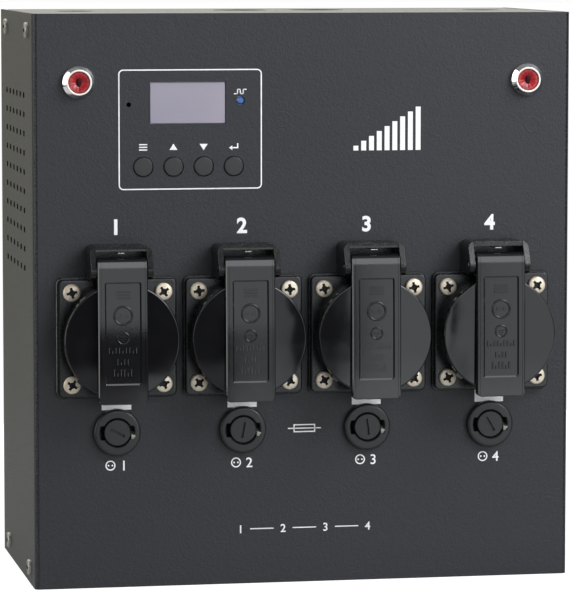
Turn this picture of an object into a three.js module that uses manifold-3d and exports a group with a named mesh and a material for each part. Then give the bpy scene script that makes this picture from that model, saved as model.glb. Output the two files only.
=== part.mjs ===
// Four-channel dimmer pack for a wall or a rack shelf, in millimetres, +Z up, front facing -Y.
// Two bent steel sheets make the housing. The cover is the front and both sides, and the chassis is
// the top, back and bottom. Four mains sockets with sprung lids, four fuses, two lamps, a display
// and four buttons sit in the front, and the data connectors and cable entries in the top.
// Lengths along y are given from the front panel's face, and the last lines centre the whole.

import * as THREE from 'three';
import { mergeVertices } from 'three/addons/utils/BufferGeometryUtils.js';
import Module from 'manifold-3d';

const wasm = await Module();
wasm.setup();

// Housing
const panelWidth = 226;
const panelHeight = 237;
const housingDepth = 112;
const sheet = 1.2;
const bendRadius = 1.6;
const chassisBendRadius = 2;
const flangeHeight = 14;
const flangeRelief = 5;

// Clearances and cutting
const fit = 0.3;
const seat = 0.2;
const overrun = 2;

// Side vents, a block of short slots on each side
const ventRows = 10;
const ventLength = 5;
const ventHeight = 2.4;
const ventRowPitch = 8;
const ventColumnPitch = 12.2;
const ventTopDrop = 33;
const ventFrontSetback = 29.6;
const ventBackMargin = 15;

// Screws through the cover's sides into the chassis
const sideScrewHole = 3.8;
const sideScrewDrop = 7;
const sideScrewFront = 16;
const sideScrewBack = 22;

// Sockets and their four channels
const channelPitch = 52.6;
const channelMargin = 8;
const socketDrop = 132.8;
const flangeSize = 50;
const flangeCorner = 3;
const flangeThickness = 4.2;
const collarRadius = 22.4;
const collarRim = 16.6;
const wellRadius = 19.75;
const wellDepth = 17.5;
const contactPitch = 19;
const contactHole = 5.6;
const contactDepth = 14;
const keyWidth = 5;
const keyHeight = 1.6;
const keyLength = 12;
const barrelRadius = 21;
const barrelDepth = 24;
const screwSpacing = 38;

// Hinge hood that stands over the top of each flange
const pivotRise = 29.1;
const pivotForward = 15.2;
const hoodOpening = 21;
const hoodWall = 2.3;
const hoodRise = 38.4;
const hoodForward = 14.6;
const hoodBar = 2.1;
const hoodBack = 2;
const hoodCorner = 2.6;
const earRadius = 4.2;

// Lids
const lidRadius = 23.75;
const lidFace = 18.5;
const lidThickness = 1.6;
const lidSkirt = 1;
const lidSkirtDepth = 1.3;
const strapWidth = 20.4;
const strapFace = 20.2;
const strapDrop = 25.6;
const strapCorner = 2;
const strapPanelWidth = 15;
const strapPanelHeight = 40.6;
const strapPanelDepth = 0.5;
const strapPanelRise = 23.4;
const knuckleRadius = 5;
const pinRadius = 1.25;
const pinInset = 0.4;
const springRadius = 3.2;
const springWidth = 12;

// Flange screws
const screwHeadRadius = 3.6;
const screwHeadHeight = 1.9;
const screwCrownShare = 0.7;
const screwShankRadius = 1.75;
const screwLength = 14;

// Fuse holders
const fuseDrop = 172.2;
const bezelRadius = 9.75;
const bezelHeight = 3;
const bezelRound = 1.1;
const holderRadius = 7.6;
const holderDepth = 36;
const capRadius = 5.4;
const capDepth = 9;
const capRecess = 0.4;
const capSleeve = 1.2;
const capSlotWidth = 1.2;
const capSlotLength = 6.6;
const capSlotDepth = 1.3;
const notchReach = 1.5;
const notchWidth = 5.6;
const fuseRadius = 2.6;
const fuseLength = 20;
const capTurnDegrees = [-27, 80, 98, 121];

// Channel lamps
const lampEdge = 18.8;
const lampDrop = 28;
const lampBaseRadius = 6.7;
const lampRingRadius = 5.5;
const lampHeight = 4;
const lampLip = 0.9;
const lampBarrelRadius = 4;
const lampBarrelDepth = 16;
const lensSkirt = 2.6;
const lensDish = 1.4;
const lensDishShares = [0.33, 0.9];

// Display, signal lamp and buttons, placed from the panel's left edge
const windowEdge = 48.7;
const windowWidth = 31.1;
const windowHeight = 16.6;
const windowDrop = 28.4;
const windowThickness = 2;
const windowRecess = 0.5;
const windowFlange = 1.5;
const pipEdge = 39.7;
const pipDrop = 37.3;
const pipRadius = 1;
const signalEdge = 86.1;
const signalDrop = 35.9;
const signalRadius = 1.6;
const signalProud = 0.5;
const signalCrownShare = 0.7;
const signalFlangeRadius = 2.2;
const signalFlange = 1;
const buttonCount = 4;
const buttonPitch = 12.57;
const buttonEdge = 45.6;
const buttonDrop = 62.9;
const buttonRadius = 4;
const buttonProud = 0.6;
const buttonTravel = 0.8;
const buttonFlangeRadius = 4.8;
const buttonFlange = 1;
const buttonStemRadius = 1.8;

// Control board behind the display
const boardDepth = 13;
const boardThickness = 1.6;
const boardMargin = 7;
const studRadius = 2.5;
const displayBlockGap = 1;
const switchSize = 6;
const switchHeight = 3.6;
const boardChipWidth = 14;
const boardChipHeight = 2;

// Power board, heat sink and terminal block on the back
const postRadius = 3.5;
const postHeight = 8;
const postInset = 7;
const powerBoardEdge = 23;
const powerBoardHeight = 112;
const powerBoardRise = 20;
const chokeRadius = 12;
const chokeBore = 3.2;
const chokeHeight = 9;
const chokeRise = 34;
const driverWidth = 10;
const driverHeight = 16;
const driverDepth = 4.6;
const driverRise = 92;
const sinkHeight = 52;
const sinkBase = 4;
const sinkFinLength = 22;
const sinkFin = 2.2;
const sinkFins = 13;
const sinkRise = 143;
const sinkEdge = 15;
const sinkGap = 26;
const terminalWidth = 24;
const terminalHeight = 52;
const terminalDepth = 18;
const terminalRise = 140;
const terminalEdge = 25;
const terminalPoles = 4;
const terminalGap = 2;
const terminalScrewRadius = 2.6;

// Keyholes in the back
const keyholeSpacing = 150;
const keyholeDrop = 26;
const keyholeRadius = 4.5;
const keyholeSlotWidth = 4.6;
const keyholeSlotLength = 11;

// Data connectors and cable entries in the top
const connectorPitch = 33.4;
const connectorOffset = 1.8;
const connectorSetback = 70;
const connectorRadius = 12;
const connectorWall = 1.8;
const connectorDepth = 26;
const connectorWellDepth = 15;
const connectorPinRadius = 1.2;
const connectorPinLength = 9;
const connectorPinCircle = 3.5;
const connectorPlateWidth = 27;
const connectorPlateHeight = 31;
const connectorPlate = 2;
const connectorPlugGap = 1.6;
const entryEdge = 25;
const entrySetback = 56;
const entryRadius = 8;
const entryBore = 4.5;
const grommetFlangeRadius = 10;
const grommetFlange = 1.6;
const grommetTop = 0.3;

// Sides that round things are drawn with
const wideFacets = 20;
const roundFacets = 12;
const smallFacets = 8;
const hiddenFacets = 6;
const bendFacets = 2;

const paint = (color, roughness, metalness) => (
  new THREE.MeshStandardMaterial({ color, roughness, metalness })
);
const coatedSteel = paint(0x3a3b3e, 0.6, 0.1);
const brightSteel = paint(0xd2cbb8, 0.3, 0.9);
const chrome = paint(0xd8dadc, 0.12, 1);
const blackMoulding = paint(0x26272a, 0.5, 0);
const redLens = paint(0xb01018, 0.2, 0);
const blueLens = paint(0x2a4fd0, 0.2, 0);
const smokedWindow = paint(0x938fa0, 0.15, 0);
const boardGreen = paint(0x1f5a34, 0.6, 0);
const bareAluminium = paint(0xb8babd, 0.35, 0.9);
const rubber = paint(0x1b1b1c, 0.85, 0);
const fuseGlass = paint(0xcfd6d8, 0.1, 0);
const paleMoulding = paint(0xd9d6cb, 0.55, 0);

const unit = new THREE.Group();

// Solids and how they are joined

function solid(geometry) {
  const bare = geometry.clone();
  bare.deleteAttribute('normal');
  bare.deleteAttribute('uv');
  const merged = mergeVertices(bare);
  const vertProperties = new Float32Array(merged.attributes.position.array);
  const triVerts = new Uint32Array(merged.index.array);
  if (signedVolume(vertProperties, triVerts) < 0) triVerts.reverse();
  return new wasm.Manifold(new wasm.Mesh({ numProp: 3, vertProperties, triVerts }));
}

function signedVolume(corners, triangles) {
  const [a, b, c] = [new THREE.Vector3(), new THREE.Vector3(), new THREE.Vector3()];
  let sum = 0;
  for (let i = 0; i < triangles.length; i += 3) {
    a.fromArray(corners, 3 * triangles[i]);
    b.fromArray(corners, 3 * triangles[i + 1]);
    c.fromArray(corners, 3 * triangles[i + 2]);
    sum += a.dot(b.cross(c));
  }
  return sum;
}

function joined(solids) {
  return solids.reduce((whole, next) => whole.add(next));
}

function addPiece(name, shape, material, x = 0, y = 0, z = 0) {
  const { vertProperties, triVerts } = shape.getMesh();
  const geometry = new THREE.BufferGeometry();
  geometry.setAttribute('position', new THREE.BufferAttribute(vertProperties, 3));
  geometry.setIndex(new THREE.BufferAttribute(triVerts, 1));
  geometry.computeVertexNormals();
  const piece = new THREE.Mesh(geometry, material);
  piece.name = name;
  piece.position.set(x, y, z);
  unit.add(piece);
  return piece;
}

// Outlines and the directions they are drawn out in

function roundedRectangle(left, bottom, width, height, corner) {
  const shape = new THREE.Shape();
  const right = left + width;
  const top = bottom + height;
  shape.moveTo(left + corner, bottom);
  shape.lineTo(right - corner, bottom);
  shape.absarc(right - corner, bottom + corner, corner, -Math.PI / 2, 0);
  shape.lineTo(right, top - corner);
  shape.absarc(right - corner, top - corner, corner, 0, Math.PI / 2);
  shape.lineTo(left + corner, top);
  shape.absarc(left + corner, top - corner, corner, Math.PI / 2, Math.PI);
  shape.lineTo(left, bottom + corner);
  shape.absarc(left + corner, bottom + corner, corner, Math.PI, 1.5 * Math.PI);
  return shape;
}

// An outline in x and z, drawn out from front to back.
function frontal(shape, front, back, curveSegments = bendFacets) {
  const depth = back - front;
  const geometry = new THREE.ExtrudeGeometry(shape, { depth, bevelEnabled: false, curveSegments });
  return solid(geometry.rotateX(Math.PI / 2).translate(0, back, 0));
}

// An outline in x and y, drawn out from bottom to top.
function upright(shape, bottom, top, curveSegments = bendFacets) {
  const depth = top - bottom;
  const geometry = new THREE.ExtrudeGeometry(shape, { depth, bevelEnabled: false, curveSegments });
  return solid(geometry.translate(0, 0, bottom));
}

// An outline in y and z, drawn out from left to right.
function sideways(shape, left, right, curveSegments = bendFacets) {
  const depth = right - left;
  const turn = new THREE.Matrix4().makeBasis(
    new THREE.Vector3(0, 1, 0),
    new THREE.Vector3(0, 0, 1),
    new THREE.Vector3(1, 0, 0),
  );
  const geometry = new THREE.ExtrudeGeometry(shape, { depth, bevelEnabled: false, curveSegments });
  return solid(geometry.applyMatrix4(turn).translate(left, 0, 0));
}

function block(left, right, front, back, bottom, top) {
  const geometry = new THREE.BoxGeometry(right - left, back - front, top - bottom);
  return solid(geometry.translate((left + right) / 2, (front + back) / 2, (bottom + top) / 2));
}

// Rods along each axis, given by where they are centred and where they start and end.
function rodAlongY(radius, x, z, front, back, facets = roundFacets) {
  const geometry = new THREE.CylinderGeometry(radius, radius, back - front, facets);
  return solid(geometry.translate(x, (front + back) / 2, z));
}

function rodAlongX(radius, y, z, left, right, facets = roundFacets) {
  const geometry = new THREE.CylinderGeometry(radius, radius, right - left, facets).rotateZ(Math.PI / 2);
  return solid(geometry.translate((left + right) / 2, y, z));
}

function rodAlongZ(radius, x, y, bottom, top, facets = roundFacets) {
  const geometry = new THREE.CylinderGeometry(radius, radius, top - bottom, facets).rotateX(Math.PI / 2);
  return solid(geometry.translate(x, y, (bottom + top) / 2));
}

// A profile of [radius, y] pairs, turned about the y axis. It ends on the axis or closes on itself.
function turned(profile, facets = roundFacets) {
  return solid(new THREE.LatheGeometry(profile.map(([radius, y]) => new THREE.Vector2(radius, y)), facets));
}

// Places that several pieces share

const halfWidth = panelWidth / 2;
const topFromBottom = (drop) => panelHeight - drop;
const channelRun = panelWidth - 2 * channelMargin - flangeSize;
const channels = Math.floor(channelRun / channelPitch) + 1;
const channelCentres = Array.from({ length: channels }, (_, i) => (i - (channels - 1) / 2) * channelPitch);
const socketHeight = topFromBottom(socketDrop);
const fuseHeight = topFromBottom(fuseDrop);
const lampSpread = halfWidth - lampEdge;
const lampHeightOnPanel = topFromBottom(lampDrop);
const buttonHeight = topFromBottom(buttonDrop);
const buttonPlaces = Array.from({ length: buttonCount }, (_, i) => buttonEdge - halfWidth + i * buttonPitch);
const windowLeft = windowEdge - halfWidth;
const pipPlace = pipEdge - halfWidth;
const signalPlace = signalEdge - halfWidth;
const screwOffsets = [-1, 1].flatMap((side) => [1, -1].map((level) => [side, level]));
const entrySpread = halfWidth - entryEdge;
const connectorPlaces = [-1, 1].map((side) => connectorOffset + (side * connectorPitch) / 2);
const windowBottom = topFromBottom(windowDrop + windowHeight);
const insideBack = housingDepth - sheet;
const boardFront = boardDepth;
const boardLeft = pipPlace - boardMargin;
const boardRight = signalPlace + 2 * boardMargin;
const boardTop = topFromBottom(windowDrop) + boardMargin;
const boardBottom = buttonHeight - 2 * boardMargin;
const boardCorners = [boardLeft, boardRight].flatMap((x) => [boardBottom, boardTop].map((z) => [x, z]));
const studInset = 2 * studRadius;
const studPlaces = boardCorners.map(([x, z]) => [
  x + (x === boardLeft ? studInset : -studInset),
  z + (z === boardBottom ? studInset : -studInset),
]);
const sideScrewPlaces = [sideScrewFront, housingDepth - sideScrewBack].flatMap((y) => (
  [sideScrewDrop, panelHeight - sideScrewDrop].map((z) => [y, z])
));

// The cover: front and sides from one sheet, bent at the front's left and right edges

function coverProfile() {
  const shape = new THREE.Shape();
  const inner = bendRadius - sheet;
  shape.moveTo(-halfWidth, housingDepth);
  shape.lineTo(-halfWidth, bendRadius);
  shape.absarc(-halfWidth + bendRadius, bendRadius, bendRadius, Math.PI, 1.5 * Math.PI);
  shape.lineTo(halfWidth - bendRadius, 0);
  shape.absarc(halfWidth - bendRadius, bendRadius, bendRadius, -Math.PI / 2, 0);
  shape.lineTo(halfWidth, housingDepth);
  shape.lineTo(halfWidth - sheet, housingDepth);
  shape.lineTo(halfWidth - sheet, bendRadius);
  shape.absarc(halfWidth - bendRadius, bendRadius, inner, 0, -Math.PI / 2, true);
  shape.lineTo(-halfWidth + bendRadius, sheet);
  shape.absarc(-halfWidth + bendRadius, bendRadius, inner, -Math.PI / 2, -Math.PI, true);
  shape.lineTo(-halfWidth + sheet, housingDepth);
  return shape;
}

function ventCutters() {
  const cutters = [];
  const run = housingDepth - ventFrontSetback - ventBackMargin;
  const columns = Math.floor(run / ventColumnPitch) + 1;
  for (let row = 0; row < ventRows; row += 1) {
    const bottom = topFromBottom(ventTopDrop + ventHeight + row * ventRowPitch);
    for (let column = 0; column < columns; column += 1) {
      const front = ventFrontSetback + column * ventColumnPitch - ventLength / 2;
      cutters.push(block(
        -halfWidth - overrun, halfWidth + overrun, front, front + ventLength, bottom, bottom + ventHeight,
      ));
    }
  }
  return cutters;
}

function panelHole(radius, x, z, facets) {
  return rodAlongY(radius, x, z, -overrun, sheet + overrun, facets);
}

function frontCutters() {
  const cutters = [];
  for (const x of channelCentres) {
    cutters.push(panelHole(barrelRadius + fit, x, socketHeight, wideFacets));
    cutters.push(panelHole(holderRadius + fit, x, fuseHeight, roundFacets));
    for (const [side, level] of screwOffsets) {
      const hole = screwShankRadius + fit;
      const across = x + (side * screwSpacing) / 2;
      cutters.push(panelHole(hole, across, socketHeight + (level * screwSpacing) / 2, hiddenFacets));
    }
  }
  for (const side of [-1, 1]) {
    cutters.push(panelHole(lampBarrelRadius + fit, side * lampSpread, lampHeightOnPanel, smallFacets));
  }
  for (const x of buttonPlaces) cutters.push(panelHole(buttonRadius + fit, x, buttonHeight, roundFacets));
  cutters.push(panelHole(signalRadius + fit, signalPlace, topFromBottom(signalDrop), smallFacets));
  cutters.push(panelHole(pipRadius, pipPlace, topFromBottom(pipDrop), smallFacets));
  cutters.push(block(
    windowLeft - fit, windowLeft + windowWidth + fit, -overrun, sheet + overrun,
    windowBottom - fit, windowBottom + windowHeight + fit,
  ));
  return cutters;
}

function makeCover() {
  const shell = upright(coverProfile(), 0, panelHeight);
  const studs = studPlaces.map(([x, z]) => (
    rodAlongY(studRadius, x, z, sheet / 2, boardFront - seat, hiddenFacets)
  ));
  const sideHoles = sideScrewPlaces.map(([y, z]) => (
    rodAlongX(sideScrewHole / 2, y, z, -halfWidth - overrun, halfWidth + overrun, hiddenFacets)
  ));
  const cutters = [...frontCutters(), ...ventCutters(), ...sideHoles];
  addPiece('front_cover', joined([shell, ...studs]).subtract(joined(cutters)), coatedSteel);
}

// The chassis: top, back and bottom from one sheet, with flanges that the cover's sides screw to

const chassisFront = sheet + seat;
const chassisHalf = halfWidth - sheet - seat;

function chassisProfile() {
  const outer = chassisBendRadius;
  const inner = chassisBendRadius - sheet;
  const shape = new THREE.Shape();
  shape.moveTo(chassisFront, 0);
  shape.lineTo(housingDepth - outer, 0);
  shape.absarc(housingDepth - outer, outer, outer, -Math.PI / 2, 0);
  shape.lineTo(housingDepth, panelHeight - outer);
  shape.absarc(housingDepth - outer, panelHeight - outer, outer, 0, Math.PI / 2);
  shape.lineTo(chassisFront, panelHeight);
  shape.lineTo(chassisFront, panelHeight - sheet);
  shape.lineTo(housingDepth - outer, panelHeight - sheet);
  shape.absarc(housingDepth - outer, panelHeight - outer, inner, Math.PI / 2, 0, true);
  shape.lineTo(insideBack, outer);
  shape.absarc(housingDepth - outer, outer, inner, 0, -Math.PI / 2, true);
  shape.lineTo(chassisFront, sheet);
  return shape;
}

// One flange with its bend, in x and z, for the right-hand end of the top plate.
function flangeProfile() {
  const bend = bendRadius;
  const shape = new THREE.Shape();
  shape.moveTo(chassisHalf - 2 * bend, panelHeight);
  shape.lineTo(chassisHalf - 2 * bend, panelHeight - sheet);
  shape.lineTo(chassisHalf - bend, panelHeight - sheet);
  shape.absarc(chassisHalf - bend, panelHeight - bend, bend - sheet, Math.PI / 2, 0, true);
  shape.lineTo(chassisHalf - sheet, panelHeight - flangeHeight);
  shape.lineTo(chassisHalf, panelHeight - flangeHeight);
  shape.lineTo(chassisHalf, panelHeight - bend);
  shape.absarc(chassisHalf - bend, panelHeight - bend, bend, 0, Math.PI / 2);
  return shape;
}

function flanges() {
  const rightTop = frontal(flangeProfile(), chassisFront, housingDepth - flangeRelief);
  const leftTop = rightTop.mirror([1, 0, 0]);
  const lower = joined([rightTop, leftTop]).mirror([0, 0, 1]).translate([0, 0, panelHeight]);
  return [rightTop, leftTop, lower];
}

function keyhole(x) {
  const z = topFromBottom(keyholeDrop);
  const half = keyholeSlotWidth / 2;
  const reach = keyholeSlotLength - half;
  return [
    rodAlongY(keyholeRadius, x, z, insideBack - overrun, housingDepth + overrun, roundFacets),
    block(x - half, x + half, insideBack - overrun, housingDepth + overrun, z, z + reach),
    rodAlongY(half, x, z + reach, insideBack - overrun, housingDepth + overrun, smallFacets),
  ];
}

const powerBoardWidth = panelWidth - 2 * powerBoardEdge;
const powerBoardFront = insideBack - postHeight - boardThickness;
const postPlaces = [-1, 1].flatMap((side) => (
  [powerBoardRise + postInset, powerBoardRise + powerBoardHeight - postInset].map((z) => (
    [side * (powerBoardWidth / 2 - postInset), z]
  ))
));

function topHole(radius, x, y) {
  return rodAlongZ(radius, x, y, panelHeight - sheet - overrun, panelHeight + overrun);
}

function makeChassis() {
  const bent = sideways(chassisProfile(), -chassisHalf + bendRadius, chassisHalf - bendRadius);
  const backPlate = block(
    -chassisHalf, chassisHalf, insideBack, housingDepth, flangeRelief, panelHeight - flangeRelief,
  );
  const posts = postPlaces.map(([x, z]) => (
    rodAlongY(postRadius, x, z, insideBack - postHeight + seat, insideBack + sheet / 2, hiddenFacets)
  ));
  const pilot = screwShankRadius;
  const cutters = [
    ...keyhole(-keyholeSpacing / 2),
    ...keyhole(keyholeSpacing / 2),
    ...sideScrewPlaces.map(([y, z]) => (
      rodAlongX(pilot, y, z, -halfWidth - overrun, halfWidth + overrun, hiddenFacets)
    )),
    ...connectorPlaces.map((x) => topHole(connectorRadius, x, connectorSetback)),
    ...[-1, 1].map((side) => topHole(entryRadius, side * entrySpread, entrySetback)),
  ];
  const blank = joined([bent, backPlate, ...flanges(), ...posts]);
  addPiece('rear_chassis', blank.subtract(joined(cutters)), coatedSteel);
}

// Sockets, drawn about the middle of the socket on the panel's face

const flangeFace = seat + flangeThickness;
const earOutside = hoodOpening / 2 + hoodWall;
const wellFloor = wellDepth - collarRim;

function flangePlate() {
  const half = flangeSize / 2;
  return frontal(roundedRectangle(-half, -half, flangeSize, flangeSize, flangeCorner), -flangeFace, -seat);
}

function collarAndBarrel() {
  return turned([
    [0, wellFloor],
    [wellRadius, wellFloor],
    [wellRadius, -collarRim],
    [collarRadius, -collarRim],
    [collarRadius, -flangeFace + seat],
    [barrelRadius, -flangeFace + seat],
    [barrelRadius, barrelDepth],
    [0, barrelDepth],
  ], wideFacets);
}

// The outline of one ear in y and z: flat at the back, round about the pin at the front.
function earProfile() {
  const shape = new THREE.Shape();
  const lean = Math.atan2(pivotForward - hoodForward, hoodRise - pivotRise);
  const reach = Math.hypot(pivotForward - hoodForward, hoodRise - pivotRise);
  const tangent = Math.acos(earRadius / reach);
  shape.moveTo(-seat, hoodRise);
  shape.lineTo(-hoodForward, hoodRise);
  shape.absarc(-pivotForward, pivotRise, earRadius, Math.PI / 2 - lean + tangent, 1.5 * Math.PI);
  shape.lineTo(-flangeFace, pivotRise - earRadius);
  shape.lineTo(-flangeFace, flangeSize / 2 - flangeCorner);
  shape.lineTo(-seat, flangeSize / 2 - flangeCorner);
  return shape;
}

function hood() {
  const inside = hoodOpening / 2;
  const rightEar = sideways(earProfile(), inside, earOutside, 2 * bendFacets);
  const leftEar = rightEar.mirror([1, 0, 0]);
  const bar = block(-earOutside, earOutside, -hoodForward, -seat, hoodRise - hoodBar, hoodRise);
  const back = block(-earOutside, earOutside, -hoodBack, -seat, flangeSize / 2 - flangeCorner, hoodRise);
  const bottom = flangeSize / 2 - 2 * flangeCorner;
  const rounded = roundedRectangle(-earOutside, bottom, 2 * earOutside, hoodRise - bottom, hoodCorner);
  const reach = pivotForward + earRadius + overrun;
  return joined([rightEar, leftEar, bar, back]).intersect(frontal(rounded, -reach, 0));
}

function wellKeys() {
  const level = contactPitch;
  return [-1, 1].map((side) => block(
    side > 0 ? level - keyHeight + fit : -wellRadius - fit,
    side > 0 ? wellRadius + fit : -level + keyHeight - fit,
    wellFloor - keyLength, wellFloor + fit, -keyWidth / 2, keyWidth / 2,
  ));
}

function socketBody() {
  const half = contactPitch / 2;
  const contactHoles = [-half, half].map((x) => (
    rodAlongY(contactHole / 2, x, 0, wellFloor - overrun, wellFloor + contactDepth, hiddenFacets)
  ));
  const screwHoles = screwOffsets.map(([side, level]) => rodAlongY(
    screwShankRadius + fit, (side * screwSpacing) / 2, (level * screwSpacing) / 2,
    -flangeFace - overrun, overrun, hiddenFacets,
  ));
  const pinHole = rodAlongX(
    pinRadius + fit, -pivotForward, pivotRise, -earOutside - overrun, earOutside + overrun, smallFacets,
  );
  const wellSpace = rodAlongY(wellRadius, 0, 0, -collarRim - overrun, wellFloor, wideFacets);
  const openFlange = flangePlate().subtract(wellSpace);
  const whole = joined([openFlange, collarAndBarrel(), hood(), ...wellKeys()]);
  return whole.subtract(joined([...contactHoles, ...screwHoles, pinHole]));
}

// A lid: a disc with a skirt over the collar, and a strap up to the knuckle

function lidDisc() {
  const underside = lidFace - lidThickness;
  const skirtEnd = underside - lidSkirtDepth;
  return turned([
    [0, -underside],
    [lidRadius - lidSkirt, -underside],
    [lidRadius - lidSkirt, -skirtEnd],
    [lidRadius, -skirtEnd],
    [lidRadius, -lidFace],
    [0, -lidFace],
  ], wideFacets);
}

function lidStrap() {
  const half = strapWidth / 2;
  const back = lidFace - lidThickness / 2;
  const side = new THREE.Shape();
  side.moveTo(-back, -strapDrop);
  side.lineTo(-back, pivotRise - knuckleRadius);
  side.lineTo(-pivotForward, pivotRise - knuckleRadius);
  side.absarc(-pivotForward, pivotRise, knuckleRadius, -Math.PI / 2, Math.PI);
  side.lineTo(-strapFace, -strapDrop);
  const bar = sideways(side, -half, half, 2 * bendFacets);
  const height = strapDrop + pivotRise + knuckleRadius + strapCorner;
  const front = roundedRectangle(-half, -strapDrop, strapWidth, height, strapCorner);
  return bar.intersect(frontal(front, -strapFace - overrun, 0));
}

function lid() {
  const pinHole = rodAlongX(
    pinRadius + fit, -pivotForward, pivotRise, -strapWidth - overrun, strapWidth + overrun, smallFacets,
  );
  const springSpace = block(
    -springWidth / 2 - fit, springWidth / 2 + fit,
    -pivotForward - springRadius - fit, -pivotForward + knuckleRadius + overrun,
    pivotRise - springRadius - fit, pivotRise + springRadius + fit,
  );
  const panelBottom = strapPanelRise - strapPanelHeight;
  const panel = block(
    -strapPanelWidth / 2, strapPanelWidth / 2, -strapFace - overrun, -strapFace + strapPanelDepth,
    panelBottom, strapPanelRise,
  );
  return joined([lidDisc(), lidStrap()]).subtract(joined([pinHole, springSpace, panel]));
}

function hingePin() {
  const half = earOutside - pinInset;
  const pin = rodAlongX(pinRadius, -pivotForward, pivotRise, -half, half, smallFacets);
  const spring = rodAlongX(
    springRadius, -pivotForward, pivotRise, -springWidth / 2, springWidth / 2, smallFacets,
  );
  return joined([pin, spring]);
}

// Screws and fuses

function flangeScrew() {
  const face = -flangeFace - seat;
  const crown = face - screwHeadHeight;
  return turned([
    [0, face + screwLength],
    [screwShankRadius, face + screwLength],
    [screwShankRadius, face],
    [screwHeadRadius, face],
    [screwHeadRadius * screwCrownShare, crown],
    [0, crown],
  ], smallFacets);
}

const boreRadius = capRadius + fit;

function fuseHolder() {
  const face = -seat - bezelHeight;
  const body = turned([
    [0, face],
    [bezelRadius - bezelRound, face],
    [bezelRadius, face + bezelRound],
    [bezelRadius, -seat],
    [holderRadius, -seat],
    [holderRadius, holderDepth],
    [0, holderDepth],
  ], roundFacets);
  const boreEnd = face + capRecess + capDepth + fit;
  const wideBore = rodAlongY(boreRadius, 0, 0, face - overrun, boreEnd, roundFacets);
  const fuseEnd = face + capRecess + capSlotDepth + capSleeve + fit + fuseLength;
  const narrowBore = rodAlongY(fuseRadius + 2 * fit, 0, 0, face, fuseEnd + fit, smallFacets);
  const reach = boreRadius + notchReach;
  const notches = block(
    -reach, reach, face - overrun, face + bezelHeight, -notchWidth / 2, notchWidth / 2,
  );
  return body.subtract(joined([wideBore, narrowBore, notches]));
}

function fuseCap() {
  const face = -seat - bezelHeight + capRecess;
  const body = rodAlongY(capRadius, 0, 0, face, face + capDepth, roundFacets);
  const seatEnd = face + capSlotDepth + capSleeve;
  const hollow = rodAlongY(fuseRadius + fit, 0, 0, seatEnd, face + capDepth + overrun, smallFacets);
  const slot = block(
    -capSlotLength / 2, capSlotLength / 2, face - overrun, face + capSlotDepth,
    -capSlotWidth / 2, capSlotWidth / 2,
  );
  return body.subtract(joined([hollow, slot]));
}

function fuseLink() {
  const front = -seat - bezelHeight + capRecess + capSlotDepth + capSleeve + fit;
  const back = front + fuseLength;
  return rodAlongY(fuseRadius, 0, 0, front, back, smallFacets);
}

function makeChannels() {
  const parts = { body: socketBody(), cover: lid(), pin: hingePin(), screw: flangeScrew() };
  const fuse = { holder: fuseHolder(), cap: fuseCap(), link: fuseLink() };
  channelCentres.forEach((x, i) => {
    const number = i + 1;
    addPiece(`socket_body_${number}`, parts.body, blackMoulding, x, 0, socketHeight);
    addPiece(`socket_lid_${number}`, parts.cover, blackMoulding, x, 0, socketHeight);
    addPiece(`lid_hinge_pin_${number}`, parts.pin, brightSteel, x, 0, socketHeight);
    screwOffsets.forEach(([side, level], corner) => {
      const across = x + (side * screwSpacing) / 2;
      const height = socketHeight + (level * screwSpacing) / 2;
      addPiece(`socket_${number}_screw_${corner + 1}`, parts.screw, brightSteel, across, 0, height);
    });
    const turn = capTurnDegrees[i % capTurnDegrees.length];
    addPiece(`fuse_holder_${number}`, fuse.holder, blackMoulding, x, 0, fuseHeight);
    addPiece(`fuse_cap_${number}`, fuse.cap.rotate([0, -turn, 0]), blackMoulding, x, 0, fuseHeight);
    addPiece(`fuse_link_${number}`, fuse.link, fuseGlass, x, 0, fuseHeight);
  });
}

// Lamps, display window, signal lamp and buttons

function lampBezel() {
  const face = -seat - lampHeight;
  const body = turned([
    [0, face],
    [lampRingRadius, face],
    [lampBaseRadius, -seat],
    [lampBarrelRadius, -seat],
    [lampBarrelRadius, lampBarrelDepth],
    [0, lampBarrelDepth],
  ], roundFacets);
  const boreEnd = face + lensSkirt + fit;
  const bore = rodAlongY(lampRingRadius - lampLip, 0, 0, face - overrun, boreEnd, roundFacets);
  return body.subtract(bore);
}

function lampLens() {
  const face = -seat - lampHeight + lampLip / 2;
  const radius = lampRingRadius - lampLip - fit;
  const back = -seat - lampHeight + lensSkirt;
  return turned([
    [0, face + lensDish],
    [radius * lensDishShares[0], face + lensDish],
    [radius * lensDishShares[1], face],
    [radius, face],
    [radius, back],
    [0, back],
  ], roundFacets);
}

function displayWindow() {
  const back = windowRecess + windowThickness;
  const plate = block(0, windowWidth, windowRecess, back, 0, windowHeight);
  const flange = block(
    -windowFlange, windowWidth + windowFlange, sheet + seat, back,
    -windowFlange, windowHeight + windowFlange,
  );
  return joined([plate, flange]);
}

function signalLamp() {
  const flangeFront = sheet + seat;
  return turned([
    [0, -signalProud],
    [signalRadius * signalCrownShare, -signalProud],
    [signalRadius, 0],
    [signalRadius, flangeFront],
    [signalFlangeRadius, flangeFront],
    [signalFlangeRadius, flangeFront + signalFlange],
    [signalRadius, flangeFront + signalFlange],
    [signalRadius, boardFront - seat],
    [0, boardFront - seat],
  ], smallFacets);
}

function button() {
  const flangeFront = sheet + seat;
  const stemEnd = boardFront - switchHeight - fit - buttonTravel;
  return turned([
    [0, -buttonProud],
    [buttonRadius, -buttonProud],
    [buttonRadius, flangeFront],
    [buttonFlangeRadius, flangeFront],
    [buttonFlangeRadius, flangeFront + buttonFlange],
    [buttonStemRadius, flangeFront + buttonFlange],
    [buttonStemRadius, stemEnd],
    [0, stemEnd],
  ], roundFacets);
}

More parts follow.
